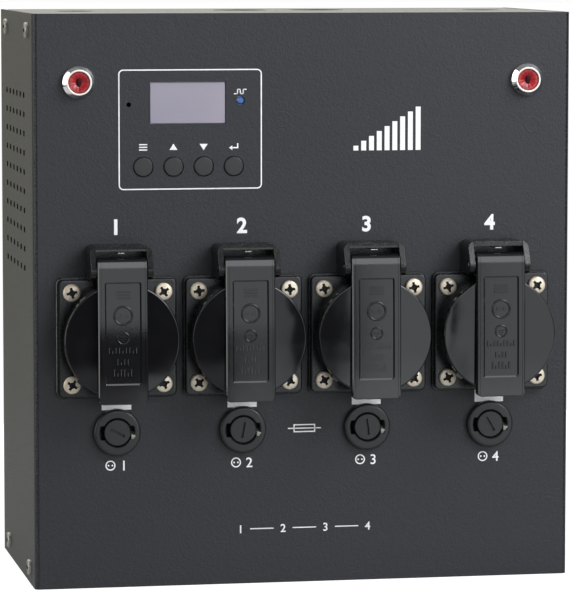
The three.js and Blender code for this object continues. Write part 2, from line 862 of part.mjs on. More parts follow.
function makePanelFittings() {
  const [bezel, lens, plunger] = [lampBezel(), lampLens(), button()];
  ['left', 'right'].forEach((name, i) => {
    const x = (i === 0 ? -1 : 1) * lampSpread;
    addPiece(`lamp_bezel_${name}`, bezel, chrome, x, 0, lampHeightOnPanel);
    addPiece(`lamp_lens_${name}`, lens, redLens, x, 0, lampHeightOnPanel);
  });
  addPiece('display_window', displayWindow(), smokedWindow, windowLeft, 0, windowBottom);
  addPiece('signal_lamp', signalLamp(), blueLens, signalPlace, 0, topFromBottom(signalDrop));
  buttonPlaces.forEach((x, i) => addPiece(`button_${i + 1}`, plunger, blackMoulding, x, 0, buttonHeight));
}

function makeControlBoard() {
  const back = boardFront + boardThickness;
  const displayFront = windowRecess + windowThickness + displayBlockGap;
  const windowMiddle = windowLeft + windowWidth / 2;
  const display = block(
    windowLeft, windowLeft + windowWidth, displayFront, back, windowBottom, windowBottom + windowHeight,
  );
  const switches = buttonPlaces.map((x) => block(
    x - switchSize / 2, x + switchSize / 2, boardFront - switchHeight, back,
    buttonHeight - switchSize / 2, buttonHeight + switchSize / 2,
  ));
  const chip = block(
    windowMiddle - boardChipWidth / 2, windowMiddle + boardChipWidth / 2,
    boardFront, back + boardChipHeight, buttonHeight - boardChipWidth / 2, buttonHeight + boardChipWidth / 2,
  );
  const plate = block(boardLeft, boardRight, boardFront, back, boardBottom, boardTop);
  addPiece('control_board', joined([plate, display, chip, ...switches]), boardGreen);
}

// Power board with its chokes and drivers, heat sink and terminal block

const terminalPlace = terminalEdge - halfWidth;

function choke(x, z) {
  const front = powerBoardFront - chokeHeight;
  const back = powerBoardFront + boardThickness / 2;
  const profile = [
    [chokeBore, back],
    [chokeRadius, back],
    [chokeRadius, front],
    [chokeBore, front],
    [chokeBore, back],
  ];
  return turned(profile, smallFacets).translate([x, 0, z]);
}

function makePowerBoard() {
  const back = powerBoardFront + boardThickness;
  const half = powerBoardWidth / 2;
  const top = powerBoardRise + powerBoardHeight;
  const plate = block(-half, half, powerBoardFront, back, powerBoardRise, top);
  const loads = channelCentres.flatMap((centre) => {
    const x = (centre * powerBoardWidth) / panelWidth;
    const left = x - driverWidth / 2;
    return [
      choke(x, chokeRise + chokeRadius),
      block(
        left, left + driverWidth, powerBoardFront - driverDepth, back,
        driverRise, driverRise + driverHeight,
      ),
    ];
  });
  addPiece('power_board', joined([plate, ...loads]), boardGreen);
}

function makeHeatSink() {
  const left = terminalPlace + terminalWidth / 2 + sinkGap;
  const right = halfWidth - sinkEdge;
  const back = insideBack - seat;
  const front = back - sinkBase;
  const top = sinkRise + sinkHeight;
  const base = block(left, right, front, back, sinkRise, top);
  const step = (right - left - sinkFin) / (sinkFins - 1);
  const fins = Array.from({ length: sinkFins }, (_, i) => {
    const finLeft = left + i * step;
    return block(finLeft, finLeft + sinkFin, front - sinkFinLength, front + sinkBase / 2, sinkRise, top);
  });
  addPiece('heat_sink', joined([base, ...fins]), bareAluminium);
}

function makeTerminalBlock() {
  const back = insideBack - seat;
  const front = back - terminalDepth;
  const left = terminalPlace - terminalWidth / 2;
  const step = terminalHeight / terminalPoles;
  const body = block(left, left + terminalWidth, front, back, terminalRise, terminalRise + terminalHeight);
  const gaps = Array.from({ length: terminalPoles - 1 }, (_, i) => {
    const level = terminalRise + (i + 1) * step;
    return block(
      left - overrun, left + terminalWidth + overrun, front - overrun, front + terminalDepth / 2,
      level - terminalGap / 2, level + terminalGap / 2,
    );
  });
  const screws = Array.from({ length: terminalPoles }, (_, i) => {
    const level = terminalRise + (i + 1 / 2) * step;
    const end = front + terminalScrewRadius;
    return rodAlongY(terminalScrewRadius, terminalPlace, level, front - overrun, end, hiddenFacets);
  });
  addPiece('mains_terminal_block', body.subtract(joined([...gaps, ...screws])), paleMoulding);
}

// Data connectors and cable entries, under and in the top plate

function connectorShell() {
  const plateTop = panelHeight - sheet - seat;
  const plate = block(
    -connectorPlateWidth / 2, connectorPlateWidth / 2, -connectorPlateHeight / 2, connectorPlateHeight / 2,
    plateTop - connectorPlate, plateTop,
  );
  const barrel = rodAlongZ(connectorRadius - fit, 0, 0, panelHeight - connectorDepth, panelHeight - seat);
  return joined([plate, barrel]);
}

function connectorPinPlaces() {
  return [0, 1, 2].map((i) => {
    const turn = (i - 1) * (Math.PI / 2) - Math.PI / 2;
    return [connectorPinCircle * Math.cos(turn), connectorPinCircle * Math.sin(turn)];
  });
}

function makeConnectors() {
  const top = panelHeight - seat;
  const floor = top - connectorWellDepth;
  const inside = connectorRadius - fit - connectorWall;
  const pins = connectorPinPlaces().map(([x, y]) => (
    rodAlongZ(connectorPinRadius, x, y, floor - overrun, floor + connectorPinLength, smallFacets)
  ));
  const well = rodAlongZ(inside, 0, 0, floor, top + overrun);
  const inlet = joined([connectorShell().subtract(well), ...pins]);
  const plug = rodAlongZ(inside - connectorPlugGap, 0, 0, floor - overrun, top - overrun);
  const holes = connectorPinPlaces().map(([x, y]) => (
    rodAlongZ(connectorPinRadius + fit, x, y, top - connectorPinLength, top + overrun, smallFacets)
  ));
  const outlet = joined([connectorShell().subtract(well), plug]).subtract(joined(holes));
  addPiece('data_inlet', inlet, blackMoulding, connectorPlaces[0], connectorSetback, 0);
  addPiece('data_outlet', outlet, blackMoulding, connectorPlaces[1], connectorSetback, 0);
}

function grommet() {
  const under = panelHeight - sheet - seat;
  const body = new THREE.LatheGeometry([
    [entryBore, under - grommetFlange],
    [grommetFlangeRadius, under - grommetFlange],
    [grommetFlangeRadius, under],
    [entryRadius - fit, under],
    [entryRadius - fit, panelHeight - grommetTop],
    [entryBore, panelHeight - grommetTop],
    [entryBore, under - grommetFlange],
  ].map(([radius, z]) => new THREE.Vector2(radius, z)), roundFacets);
  return solid(body.rotateX(Math.PI / 2));
}

function makeEntries() {
  const ring = grommet();
  ['left', 'right'].forEach((name, i) => {
    const x = (i === 0 ? -1 : 1) * entrySpread;
    addPiece(`cable_grommet_${name}`, ring, rubber, x, entrySetback, 0);
  });
}

makeCover();
makeChassis();
makeChannels();
makePanelFittings();
makeControlBoard();
makePowerBoard();
makeHeatSink();
makeTerminalBlock();
makeConnectors();
makeEntries();

// The frame's origin is under the middle of the whole, lids included.
unit.position.y = (strapFace - housingDepth) / 2;

export default unit;
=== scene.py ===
"""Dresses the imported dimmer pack: finer mouldings, screws, lamps and print, then light and camera.

Sizes are in millimetres, turned into Blender's metres by MM. Pieces are drawn about their own middle,
with y running back from the panel's face, and are then put on the frame where the CAD nodes are.
"""

import math

import bmesh
import bpy
from mathutils import Matrix, Vector


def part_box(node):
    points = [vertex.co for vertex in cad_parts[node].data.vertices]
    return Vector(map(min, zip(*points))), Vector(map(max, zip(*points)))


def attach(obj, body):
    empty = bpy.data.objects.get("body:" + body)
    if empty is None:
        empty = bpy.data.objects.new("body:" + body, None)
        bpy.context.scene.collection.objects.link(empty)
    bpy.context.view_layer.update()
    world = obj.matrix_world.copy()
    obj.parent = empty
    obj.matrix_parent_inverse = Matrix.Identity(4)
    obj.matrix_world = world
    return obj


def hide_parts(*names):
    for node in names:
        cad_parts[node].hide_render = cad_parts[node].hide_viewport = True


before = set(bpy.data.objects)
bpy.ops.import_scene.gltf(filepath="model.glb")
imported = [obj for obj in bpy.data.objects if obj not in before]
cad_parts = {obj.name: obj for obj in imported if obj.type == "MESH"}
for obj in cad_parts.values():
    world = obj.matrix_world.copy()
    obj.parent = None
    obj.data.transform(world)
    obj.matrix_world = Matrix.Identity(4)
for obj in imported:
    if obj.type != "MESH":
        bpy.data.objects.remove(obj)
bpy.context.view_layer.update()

MM = 0.001
OVERRUN = 2.0

# Places that come from the frame
PANEL_LOW, PANEL_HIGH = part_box("front_cover")
FACE = PANEL_LOW.y
TOP = PANEL_HIGH.z
HALF_WIDTH = PANEL_HIGH.x / MM
CHANNELS = 4
# Channels are counted from 1, and there are as many fuses and buttons
NUMBERS = range(1, CHANNELS + 1)

# Cover
SHEET = 1.2
SHEET_REACH = 3.2
COVER_BEND = 2.2
BEND_STEPS = 12
# The bend's own coat lies where a face turns this much to the side
BEND_TURNS = (0.1, 0.66)
VENT_ROWS = 10
VENT_COLUMNS = 6
VENT_LENGTH = 5.0
VENT_HEIGHT = 2.4
VENT_ROW_PITCH = 8.0
VENT_COLUMN_PITCH = 12.2
VENT_TOP_DROP = 33.0
VENT_FRONT = 29.6
PIP_RADIUS = 1.0
PIP_EDGE = 39.7
PIP_DROP = 37.3
WINDOW_FLANGE = 1.5
SIGNAL_RADIUS = 1.6
SIDE_HOLE = 1.9

# Sockets
FLANGE = 50.0
FLANGE_CORNER = 3.0
FLANGE_FACE = 4.4
FLANGE_STEP = 1.5
FLANGE_STEP_IN = 0.7
FLANGE_EDGES = (0.3, 0.7)
SEAT = 0.2
COLLAR_RADIUS = 22.4
COLLAR_RIM = 16.6
COLLAR_EDGE = 0.5
COLLAR_EDGE_SHARE = 0.3
WELL_RADIUS = 19.75
WELL_FLOOR = 0.9
WELL_CUT_IN = 0.02
BARREL_RADIUS = 21.0
BARREL_DEPTH = 24.0
CONTACT_PITCH = 19.0
CONTACT_HOLE = 5.6
CONTACT_DEPTH = 14.0
KEY_WIDTH = 5.0
KEY_HEIGHT = 1.6
KEY_LENGTH = 12.0
EARTH_WIDTH = 6.0
EARTH_THICK = 0.8
EARTH_LENGTH = 11.0
EARTH_SET_IN = 0.35
EARTH_BOW_SHARE = 2.4
EARTH_TIP = (3.0, 0.2)
EARTH_FOOT = 0.6
EARTH_EDGE = 0.15
SLEEVE_BORE = 1.5
SLEEVE_RADIUS = 2.9
SLEEVE_CHAMFER = 0.3
SLEEVE_SET_BACK = 2
SCREW_SPACING = 38.0
SCREW_HOLE = 2.05

# Hinge hood
PIVOT_RISE = 29.1
PIVOT_FORWARD = 15.2
HOOD_OPENING = 21.0
HOOD_WALL = 2.3
HOOD_RISE = 38.4
HOOD_FORWARD = 14.6
HOOD_BAR = 1.8
HOOD_BACK = 2.0
HOOD_CORNER = 2.6
HOOD_SLOPE = 1.1
HOOD_EDGE = 0.4
HOOD_LIP = (0.6, 0.3)
HOOD_LIP_ROOT = 1.0
HOOD_LIP_BITE = 0.1
HOOD_LIP_SHARE = 0.9
SPRING_WIRE = 0.25
SPRING_END = (2.2, 35.7, 15.2)
EAR_RADIUS = 4.2
EAR_TURN = (175, 270)
PIN_HOLE = 1.55

# Lids
LID_RADIUS = 23.75
LID_FACE = 18.5
LID_THICK = 1.6
LID_RIM = 0.7
LID_SKIRT = 1.0
LID_SKIRT_DEPTH = 1.3
SEAL_RADIUS = 19.1
SEAL_WALL = 1.6
SEAL_DEPTH = 1.4
STRAP_WIDTH = 20.4
STRAP_FACE = 19.9
STRAP_TOP = 32.9
STRAP_DROP = 25.6
STRAP_CORNER = 2.0
STRAP_PANEL = (15.0, 42.0, 0.5)
STRAP_PANEL_RISE = 24.4
STRAP_PANEL_SLOPE = 0.6
STRAP_PANEL_CORNERS = (0.8, 0.5)
BOW_LEANS = (3.0, -0.4)
BOW_STEP = 3.0
BOW_FROM = 19.0
CROWN_LEAN = 8.0
CROWN_BAND = 4.0
CROWN_STEP = 0.5
KNUCKLE_RADIUS = 5.0
KNUCKLE_END = 107
STRAP_CHAMFER = 0.4
GROOVE = (1.2, 0.3, 0.22)
SPRING_RADIUS = 3.2
SPRING_WIDTH = 12.0
NUB_ANGLE = 225.0
NUB_HALF = 1.6
NUB_SET_IN = 1.0
NUB_PROUD = 0.9
NUB_CORNER = 0.5
NUB_DROP = 0.4

# Raised marks on a strap, by their height on it
RELIEF_PROUD = 0.4
RELIEF_SUNK = 0.1
RELIEF_LINE = 0.3
RELIEF_EDGE = 0.16
RELIEF_CROWN_SHARES = (0.7, 0.3)
# Rings: radius, wall and height
RELIEF_RINGS = ((4.1, 0.9, 10.8), (2.7, 0.7, 1.6))
# Dots in the first ring: radius, distance from the middle and height
RELIEF_DOTS = (0.7, 1.4, 10.8)
# Bars in two groups: half length and height
RELIEF_LONG_BARS = ((2.9, 17.9), (2.9, 19.2), (2.9, 20.5))
RELIEF_SHORT_BARS = ((1.4, 1.9), (0.9, 1.1), (0.4, 0.3))
# Rows of ticks: height on the strap, tick's length and count
RELIEF_TICKS = ((-3.5, 2.4, 9), (-8.2, 2.4, 4), (-12.6, 3.0, 6))
TICK_PITCH = 1.4
SHORT_TICK_SHARE = 0.5

# Flange screws
HEAD_RADIUS = 3.6
HEAD_HEIGHT = 1.9
SHANK_RADIUS = 1.75
SCREW_LENGTH = 14.0
CROSS_LENGTH = 4.5
CROSS_WIDTH = 1.1
CROSS_DEPTH = 1.5
CROSS_MARGIN = 0.1
CROSS_CORE_SHARES = (1.2, 0.7)
HEAD_SHOULDER_SHARE = 0.42
HEAD_WALL_SHARE = 1.25
HEAD_DOME_SHARES = (0.45, 0.06)

# The turn of each flange screw's cross in degrees, by socket
SCREW_TURNS = ((12, 58, 33, 20), (8, 40, 5, 62), (15, 30, 12, 50), (18, 25, 40, 10))

# Side screws
SIDE_HEAD_RADIUS = 3.3
SIDE_HEAD_HEIGHT = 1.5
SIDE_SHANK_RADIUS = 1.7
SIDE_LENGTH = 7.0
SIDE_DROP = 7.0
SIDE_FRONT = 16.0
SIDE_BACK = 22.0

# Fuse holders
BEZEL_RADIUS = 9.75
BEZEL_HEIGHT = 3.0
BEZEL_ROUND = 1.1
BEZEL_FACE = -SEAT - BEZEL_HEIGHT
HOLDER_RADIUS = 7.6
HOLDER_DEPTH = 36.0
HOLDER_BORE = 3.2
HOLDER_BORE_DEPTH = 16
CAP_RADIUS = 5.5
CAP_RECESS = 0.4
CAP_DEPTH = 9.0
CAP_RIM = 0.3
CAP_HOLLOW = 2.9
CAP_WEB = 1.2
CAP_SLOT = (6.6, 1.1, 1.3)
CAP_TURNS = (-27.0, 80.0, 98.0, 121.0)
NOTCH_REACH = 1.5
MOUTH_RADIUS = 5.95
MOUTH_STEP = (0.2, 1.2, 1.8)
CHAMFER = 0.4
NOTCH_DEPTH = 8.0
NOTCH_WIDTH = 5.6
# A pale ramp in each fuse's right notch, a painted glint
FUSE_GLINT_RAMP = (5.95, 7.4, -2.9, -1.0, 0.2, 1.4)
FUSE_GLINT_TILT = 10.0
FUSE_GLINT_BACK = 1
FIT = 0.3

# Lamps and buttons
LAMP_BASE = 6.7
LAMP_RING = 5.3
LAMP_HEIGHT = 4.0
LAMP_LIP = 0.8
LAMP_FACE = -SEAT - LAMP_HEIGHT
LAMP_LIP_ROUND = 0.3
LAMP_FLOOR = 2.9
LAMP_NECK = 0.6
LAMP_CONE = (0.1, 2.1, 2.3)
FLUTES = 12
FLUTE_DEPTH = 0.04
FLUTE_REACH = (1.2, 3.6)
FLUTE_BACK = 2.5
LAMP_BARREL = 4.0
LAMP_DEPTH = 16.0
LENS_RADIUS = 4.45
LENS_EDGE = (0.4, 0.7, 1.0)
LENS_BACK = 2.8
# Radius and depth below the bezel's face
LENS_SLOPE = ((0, 2.0), (0.9, 1.9), (1.3, 1.6), (2.0, 1.25), (2.8, 0.95), (3.5, 0.75))
HEART_PROFILE = ((0, 1.1), (0.5, 1.15), (0.9, 1.5), (0.9, 2.1), (0, 2.1))
HEART_STRETCH_SHARES = (1.1, 1, 2.6, 1)
BUTTON_RADIUS = 4.0
BUTTON_FLANGE_RADIUS = 4.8
BUTTON_PROUD = 0.6
BUTTON_EDGE = 0.5
BUTTON_STEM = 1.8
BUTTON_DEPTHS = (1.4, 2.4, 8.3)

# Stage, in metres
FLOOR_FRONT = 0.07
FLOOR_BACK = 0.5
FLOOR_SIDE = 0.7
FLOOR_TONES = (0.35, 0.15)
FLOOR_GLOW = 0.84
FLOOR_SHINE = 0.43

# The room's light: a part of the direction, where it starts and ends, and the level at each
ROOM_LEVELS = (
    ("Y", -0.1, 0.8, 0.07, 0.78),
    ("Z", -0.20, 0.08, 0.45, 1.0),
    ("Z", 0.05, 0.9, 0.0, 0.12),
    ("Z", -0.119, -0.110, 0.40, 0.0),
    ("Y", -0.8, -0.3, 1.0, 0.0),
    ("Y", -0.2, 0.5, 0, 1),
)
ROOM_TINTS = ((0.96, 0.98, 1), (1, 0.98, 0.82))

# The camera from the panel's foot in millimetres, its turns in degrees, its focal length over its width
CAMERA_PLACE = (-297.3, -1534.1, 265.3)
CAMERA_YAW = 10.68
CAMERA_PITCH = 5.38
FOCAL_SHARE = 3782 / 571

# Reflector cards in front: name, left, right, bottom, top (in metres) and strength
CARD_PLANE = -1.70
CARDS = (
    ("high_card", -0.20, 0.33, 0.018, 0.215, 1.45),
    ("strap_2_card", 0.252, 0.304, -0.25, 0.018, 1.0),
    ("band_card", -0.20, 1.45, 0.205, 0.60, 3.7),
    ("strap_3_card", 0.358, 0.44, -0.35, 0.215, 1.6),
    ("card", 0.455, 1.45, -0.35, 0.215, 1.45),
    ("patch_1", 0.175, 0.21, -0.20, -0.10, 0.9),
    ("patch_2", 0.335, 0.358, -0.20, -0.088, 0.9),
    ("patch_3", 0.44, 0.455, -0.20, -0.075, 0.9),
)
CARD_COLOUR = (0.92, 0.96, 1.0)

# Soft lights: name, place and target in metres, width, height and watts
PANEL_MIDDLE = (0, FACE, TOP / 2)
SOFTBOXES = (
    ("key", (0.62, -0.66, 0.74), PANEL_MIDDLE, 0.55, 0.55, 10),
    ("top", (0.1, 0.65, 1.7), PANEL_MIDDLE, 1.4, 0.8, 12),
    ("top_strip", (0.1, -0.475, 1.7), (0.1, -0.475, 0), 1.2, 0.25, 2.8),
    ("left", (-1.5, -0.18, 0.9), (0, -0.18, 0.9), 0.45, 2.0, 9.5),
    ("edge_strip", (-1.25, -1.03, 0.5), (-0.113, FACE, 0.5), 0.12, 1.2, 2.8),
    ("behind", (0.2, 1.9, 0.9), (0, 0, TOP), 1.8, 0.8, 2.8),
)

# Print on the panel, by its distance below the top
PRINT_HEIGHT = 0.05
NUMERAL_DROP = 87.3
NUMERAL_HEIGHT = 6.2
NUMERAL_WEIGHT = 0.28
FONT_HEIGHT_SHARE = 0.72
WELD = 1e-6
LABEL_DROP = 186.1
LABEL_HEIGHT = 4.2
LABEL_WEIGHT = 0.05
LABEL_RIGHT = 3.0
SIGN_LEFT = -2.6
SIGN_LINE = 0.5
SIGN_PIN = 0.36
SIGN_PIN_PLACES = (-3.4, -1.8)
FRAME_LEFT = -77.6
FRAME_RIGHT = -17.9
FRAME_TOP = 22.9
FRAME_BOTTOM = 72.3
FRAME_LINE = 0.5
FRAME_CORNER = 2.0
BUTTON_LABEL_DROP = 54.8
SIGN_HALF = 1.7
SIGN_BAR = 0.24
SIGN_BAR_PLACES = (-1.1, 0, 1.1)
SIGN_BASE = 1.2
SIGN_TIP = 1.4
ARROW_HEAD = ((-0.6, -1.45), (-0.6, 0.45), (-2.0, -0.5))
ARROW_SHAFT = ((-0.7, -0.75), (1.9, -0.75), (1.9, 1.3), (1.4, 1.3), (1.4, -0.25), (-0.7, -0.25))
PULSE_DROP = 32.2
PULSE_LINE = 0.22
PULSE_STEP = 1.2
PULSE_RISE = 0.9
FUSE_SIGN_DROP = 172.4
FUSE_SIGN = (4.6, 1.7)
FUSE_SIGN_LINE = 0.5
FUSE_SIGN_BAR = (7, 0.25)
ROW_DROP = 214.1
ROW_STEP = 18.0
ROW_HEIGHT = 3.4
ROW_WEIGHT = 0.06
ROW_DASH = (5, 0.22)
LEVEL_BARS = 9
LEVEL_STEP = 3.3
LEVEL_WIDTH = 2.1
LEVEL_RISE = 18
LEVEL_PLACE = (35.5, 48.0)
PATCH_WIDTH = 12.3
PATCH_DROPS = (156.0, 163.0)
CLINCH_RADIUS = 3.25
# Distance from the clinch's edge, and depth
CLINCH_PROFILE = ((-0.45, 0.05), (-0.3, -0.05), (-0.12, -0.07), (0.05, -0.05), (0.2, 0.05))
CLINCH_PLACES = ((-93.0, 46.0), (-9.0, 44.0), (97.0, 47.0), (-96.0, 100.0), (98.0, 97.0))


# Meshes and how they are worked

def discard(*pieces):
    for piece in pieces:
        bpy.data.objects.remove(piece)


def link(name, mesh):
    """A new object holding the mesh."""
    piece = bpy.data.objects.new(name, mesh)
    bpy.context.scene.collection.objects.link(piece)
    return piece


def from_bmesh(name, bm):
    bmesh.ops.recalc_face_normals(bm, faces=bm.faces)
    mesh = bpy.data.meshes.new(name)
    bm.to_mesh(mesh)
    bm.free()
    return link(name, mesh)


def turned(name, profile, segments=64, closed=False):
    """A profile of (radius, y) points turned about the y axis."""
    bm = bmesh.new()
    rings = []
    for radius, y in profile:
        if radius == 0:
            rings.append([bm.verts.new((0, y * MM, 0))])
            continue
        ring = []
        for i in range(segments):
            angle = math.tau * i / segments
            ring.append(bm.verts.new((radius * MM * math.sin(angle), y * MM, radius * MM * math.cos(angle))))
        rings.append(ring)
    pairs = list(zip(rings, rings[1:]))
    if closed:
        pairs.append((rings[-1], rings[0]))
    for first, second in pairs:
        for i in range(segments):
            j = (i + 1) % segments
            around = ((first, i), (first, j), (second, j), (second, i))
            corners = [row[k % len(row)] for row, k in around]
            bm.faces.new(list(dict.fromkeys(corners)))
    return from_bmesh(name, bm)


def rounded_rectangle(left, bottom, right, top, corner, steps=8):
    """Outline points, counter-clockwise from the bottom right corner."""
    middles = ((right - corner, bottom + corner, -90), (right - corner, top - corner, 0),
               (left + corner, top - corner, 90), (left + corner, bottom + corner, 180))
    outline = []
    for x, z, start in middles:
        for i in range(steps + 1):
            angle = math.radians(start + 90 * i / steps)
            outline.append((x + corner * math.cos(angle), z + corner * math.sin(angle)))
    return outline


def arc(x, z, radius, start, end, steps=12):
    """Points on an arc between two angles in degrees."""
    points = []
    for i in range(steps + 1):
        angle = math.radians(start + (end - start) * i / steps)
        points.append((x + radius * math.cos(angle), z + radius * math.sin(angle)))
    return points


def lofted(name, rings, closed=False):
    """Outlines of (x, z) points with the same count, each at its y, joined one to the next."""
    bm = bmesh.new()
    rows = [[bm.verts.new((x * MM, y * MM, z * MM)) for x, z in outline] for outline, y in rings]
    if closed:
        rows.append(rows[0])
    else:
        bm.faces.new(rows[0])
        bm.faces.new(rows[-1][::-1])
    for near, far in zip(rows, rows[1:]):
        for i in range(len(near)):
            j = (i + 1) % len(near)
            bm.faces.new((near[i], far[i], far[j], near[j]))
    return from_bmesh(name, bm)


def prism(name, outline, near, far):
    """An outline of (x, z) points drawn out along y."""
    return lofted(name, ((outline, near), (outline, far)))


def rectangle(left, right, bottom, top):
    return (left, bottom), (right, bottom), (right, top), (left, top)


def box(name, left, right, front, back, bottom, top):
    return prism(name, rectangle(left, right, bottom, top), front, back)


def cross_prism(name, outline, left, right):
    """An outline of (y, z) points drawn out along x."""
    piece = prism(name, outline, left, right)
    piece.data.transform(Matrix(((0, 1, 0, 0), (1, 0, 0, 0), (0, 0, 1, 0), (0, 0, 0, 1))))
    piece.data.flip_normals()
    return piece


def rod(name, radius, x, z, front, back, segments=32):
    piece = turned(name, ((0, front), (radius, front), (radius, back), (0, back)), segments)
    piece.data.transform(Matrix.Translation((x * MM, 0, z * MM)))
    return piece


def rod_along(name, radius, start, end):
    """A round wire between two points, a little longer than the space between them."""
    start = Vector(start)
    run = Vector(end) - start
    back = run.length + radius / 2
    piece = turned(name, ((0, -radius / 2), (radius, -radius / 2), (radius, back), (0, back)), 12)
    turn = Vector((0, 1, 0)).rotation_difference(run).to_matrix().to_4x4()
    piece.data.transform(Matrix.Translation(start * MM) @ turn)
    return piece


def cross_rod(name, radius, y, z, left, right, segments=32):
    """A rod along x."""
    piece = turned(name, ((0, left), (radius, left), (radius, right), (0, right)), segments)
    piece.data.transform(Matrix.Rotation(math.radians(-90), 4, "Z"))
    piece.data.transform(Matrix.Translation((0, y * MM, z * MM)))
    return piece


def settle(piece):
    """Applies the piece's modifiers to its mesh."""
    graph = bpy.context.evaluated_depsgraph_get()
    mesh = bpy.data.meshes.new_from_object(piece.evaluated_get(graph))
    piece.modifiers.clear()
    piece.data = mesh
    return piece


def combine(piece, others, operation):
    for other in others:
        step = piece.modifiers.new(operation.lower(), "BOOLEAN")
        step.operation = operation
        step.solver = "EXACT"
        step.object = other
    settle(piece)
    discard(*others)
    return piece


def gathered(name, pieces):
    """One object from several that don't touch each other."""
    bm = bmesh.new()
    for piece in pieces:
        bm.from_mesh(piece.data)
        bpy.data.objects.remove(piece)
    return from_bmesh(name, bm)


def carved(piece, cutters):
    return combine(piece, cutters, "DIFFERENCE")


def fused(piece, others):
    return combine(piece, others, "UNION")


def bevelled(piece, width, segments=3, angle=40, clamped=True):
    step = piece.modifiers.new("bevel", "BEVEL")
    step.width = width * MM
    step.segments = segments
    step.limit_method = "ANGLE"
    step.angle_limit = math.radians(angle)
    step.use_clamp_overlap = clamped
    return settle(piece)


def smoothed(piece, angle=32):
    """Smooth shading with sharp edges kept, weighted so that flat faces look flat."""
    for face in piece.data.polygons:
        face.use_smooth = True
    piece.data.set_sharp_from_angle(angle=math.radians(angle))
    step = piece.modifiers.new("weights", "WEIGHTED_NORMAL")
    step.keep_sharp = True
    return settle(piece)


def placed(source, name, body, at, materials, replaces=(), turn=0.0):
    """A copy of the source piece at a place on the frame, riding on a body."""
    piece = link(name, source.data.copy())
    piece.data.transform(Matrix.Translation(at) @ Matrix.Rotation(math.radians(-turn), 4, "Y"))
    indices = [face.material_index for face in piece.data.polygons]
    piece.data.materials.clear()
    for material in materials if isinstance(materials, tuple) else (materials,):
        piece.data.materials.append(material)
    for face, index in zip(piece.data.polygons, indices):
        face.material_index = min(index, len(piece.data.materials) - 1)
    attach(piece, body)
    if replaces:
        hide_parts(*replaces)
    return piece


def middle(low, high):
    """The middle of a box in x and z."""
    return (low.x + high.x) / 2, (low.z + high.z) / 2


def on_panel(x, drop):
    """The point on the panel's face at x and a distance below the top."""
    return Vector((x * MM, FACE, TOP - drop * MM))


# Materials

def principled(name, colour, roughness, metallic=0.0, **sockets):
    """A new material with its shader, and its node tree to add to."""
    material = bpy.data.materials.new(name)
    material.use_nodes = True
    shader = material.node_tree.nodes["Principled BSDF"]
    shader.inputs["Base Color"].default_value = (*colour, 1)
    shader.inputs["Roughness"].default_value = roughness
    shader.inputs["Metallic"].default_value = metallic
    for socket, value in sockets.items():
        shader.inputs[socket.replace("_", " ")].default_value = value
    return material


def new_node(tree, kind, settings=None, **values):
    """A node with its settings made and the values of its sockets set."""
    node = tree.nodes.new(f"ShaderNode{kind}")
    for name, setting in (settings or {}).items():
        setattr(node, name, setting)
    for socket, value in values.items():
        node.inputs[socket.replace("_", " ")].default_value = value
    return node


def level(tree, source, start, end, low, high, easing="LINEAR"):
    """A value that goes from low to high as its source goes from start to end."""
    limits = {"From Min": start, "From Max": end, "To Min": low, "To Max": high}
    node = new_node(tree, "MapRange", {"interpolation_type": easing}, **limits)
    tree.links.new(source, node.inputs["Value"])
    return node.outputs["Result"]


def multiply_add(tree, sources, clamped=False):
    """The first two sources multiplied, plus the third. A plain number may stand for one."""
    node = new_node(tree, "Math", {"operation": "MULTIPLY_ADD", "use_clamp": clamped})
    for source, socket in zip(sources, node.inputs):
        if isinstance(source, float):
            socket.default_value = source
        else:
            tree.links.new(source, socket)
    return node.outputs["Value"]


def mixed_shader(tree, factor, first, second):
    """A shader between two, by a factor."""
    node = new_node(tree, "MixShader")
    for source, socket in zip((factor, first, second), node.inputs):
        tree.links.new(source, socket)
    return node.outputs["Shader"]


def noise(material, scale, detail=3.0, roughness=0.55, stretch=(1, 1, 1)):
    """Fine noise in the object's own metres. Scale is in cells a metre."""
    tree = material.node_tree
    place = new_node(tree, "TexCoord")
    mapping = new_node(tree, "Mapping", Scale=stretch)
    tree.links.new(place.outputs["Object"], mapping.inputs["Vector"])
    node = new_node(tree, "TexNoise", Scale=scale, Detail=detail, Roughness=roughness)
    tree.links.new(mapping.outputs["Vector"], node.inputs["Vector"])
    return node.outputs["Fac"]


def ranged(material, value, low, high, start=0.3, end=0.7):
    """A value mapped from start and end to low and high."""
    return level(material.node_tree, value, start, end, low, high)


def blended(tree, factor, first, second):
    """A colour between two, by a factor."""
    node = new_node(tree, "Mix", {"data_type": "RGBA"}, A=(*first, 1), B=(*second, 1))
    tree.links.new(factor, node.inputs["Factor"])
    return node.outputs["Result"]


def shade(material, socket, value):
    shader = material.node_tree.nodes["Principled BSDF"]
    material.node_tree.links.new(value, shader.inputs[socket])


def bump(material, value, height):
    """Bump of a height in millimetres, over any that is there before."""
    tree = material.node_tree
    normal = tree.nodes["Principled BSDF"].inputs["Normal"]
    node = new_node(tree, "Bump", Strength=1.0, Distance=height * MM)
    tree.links.new(value, node.inputs["Height"])
    if normal.is_linked:
        tree.links.new(normal.links[0].from_socket, node.inputs["Normal"])
    tree.links.new(node.outputs["Normal"], normal)


def mottled(material, low, high, *texture, **shape):
    """Varies the roughness between two values by a noise."""
    shade(material, "Roughness", ranged(material, noise(material, *texture, **shape), low, high))


def toned(material, first, second, *texture):
    """Varies the colour between two by a noise."""
    tone = ranged(material, noise(material, *texture), 0, 1)
    shade(material, "Base Color", blended(material.node_tree, tone, first, second))


def grained(material, height, *texture):
    """Raises a noise as bump."""
    bump(material, noise(material, *texture), height)


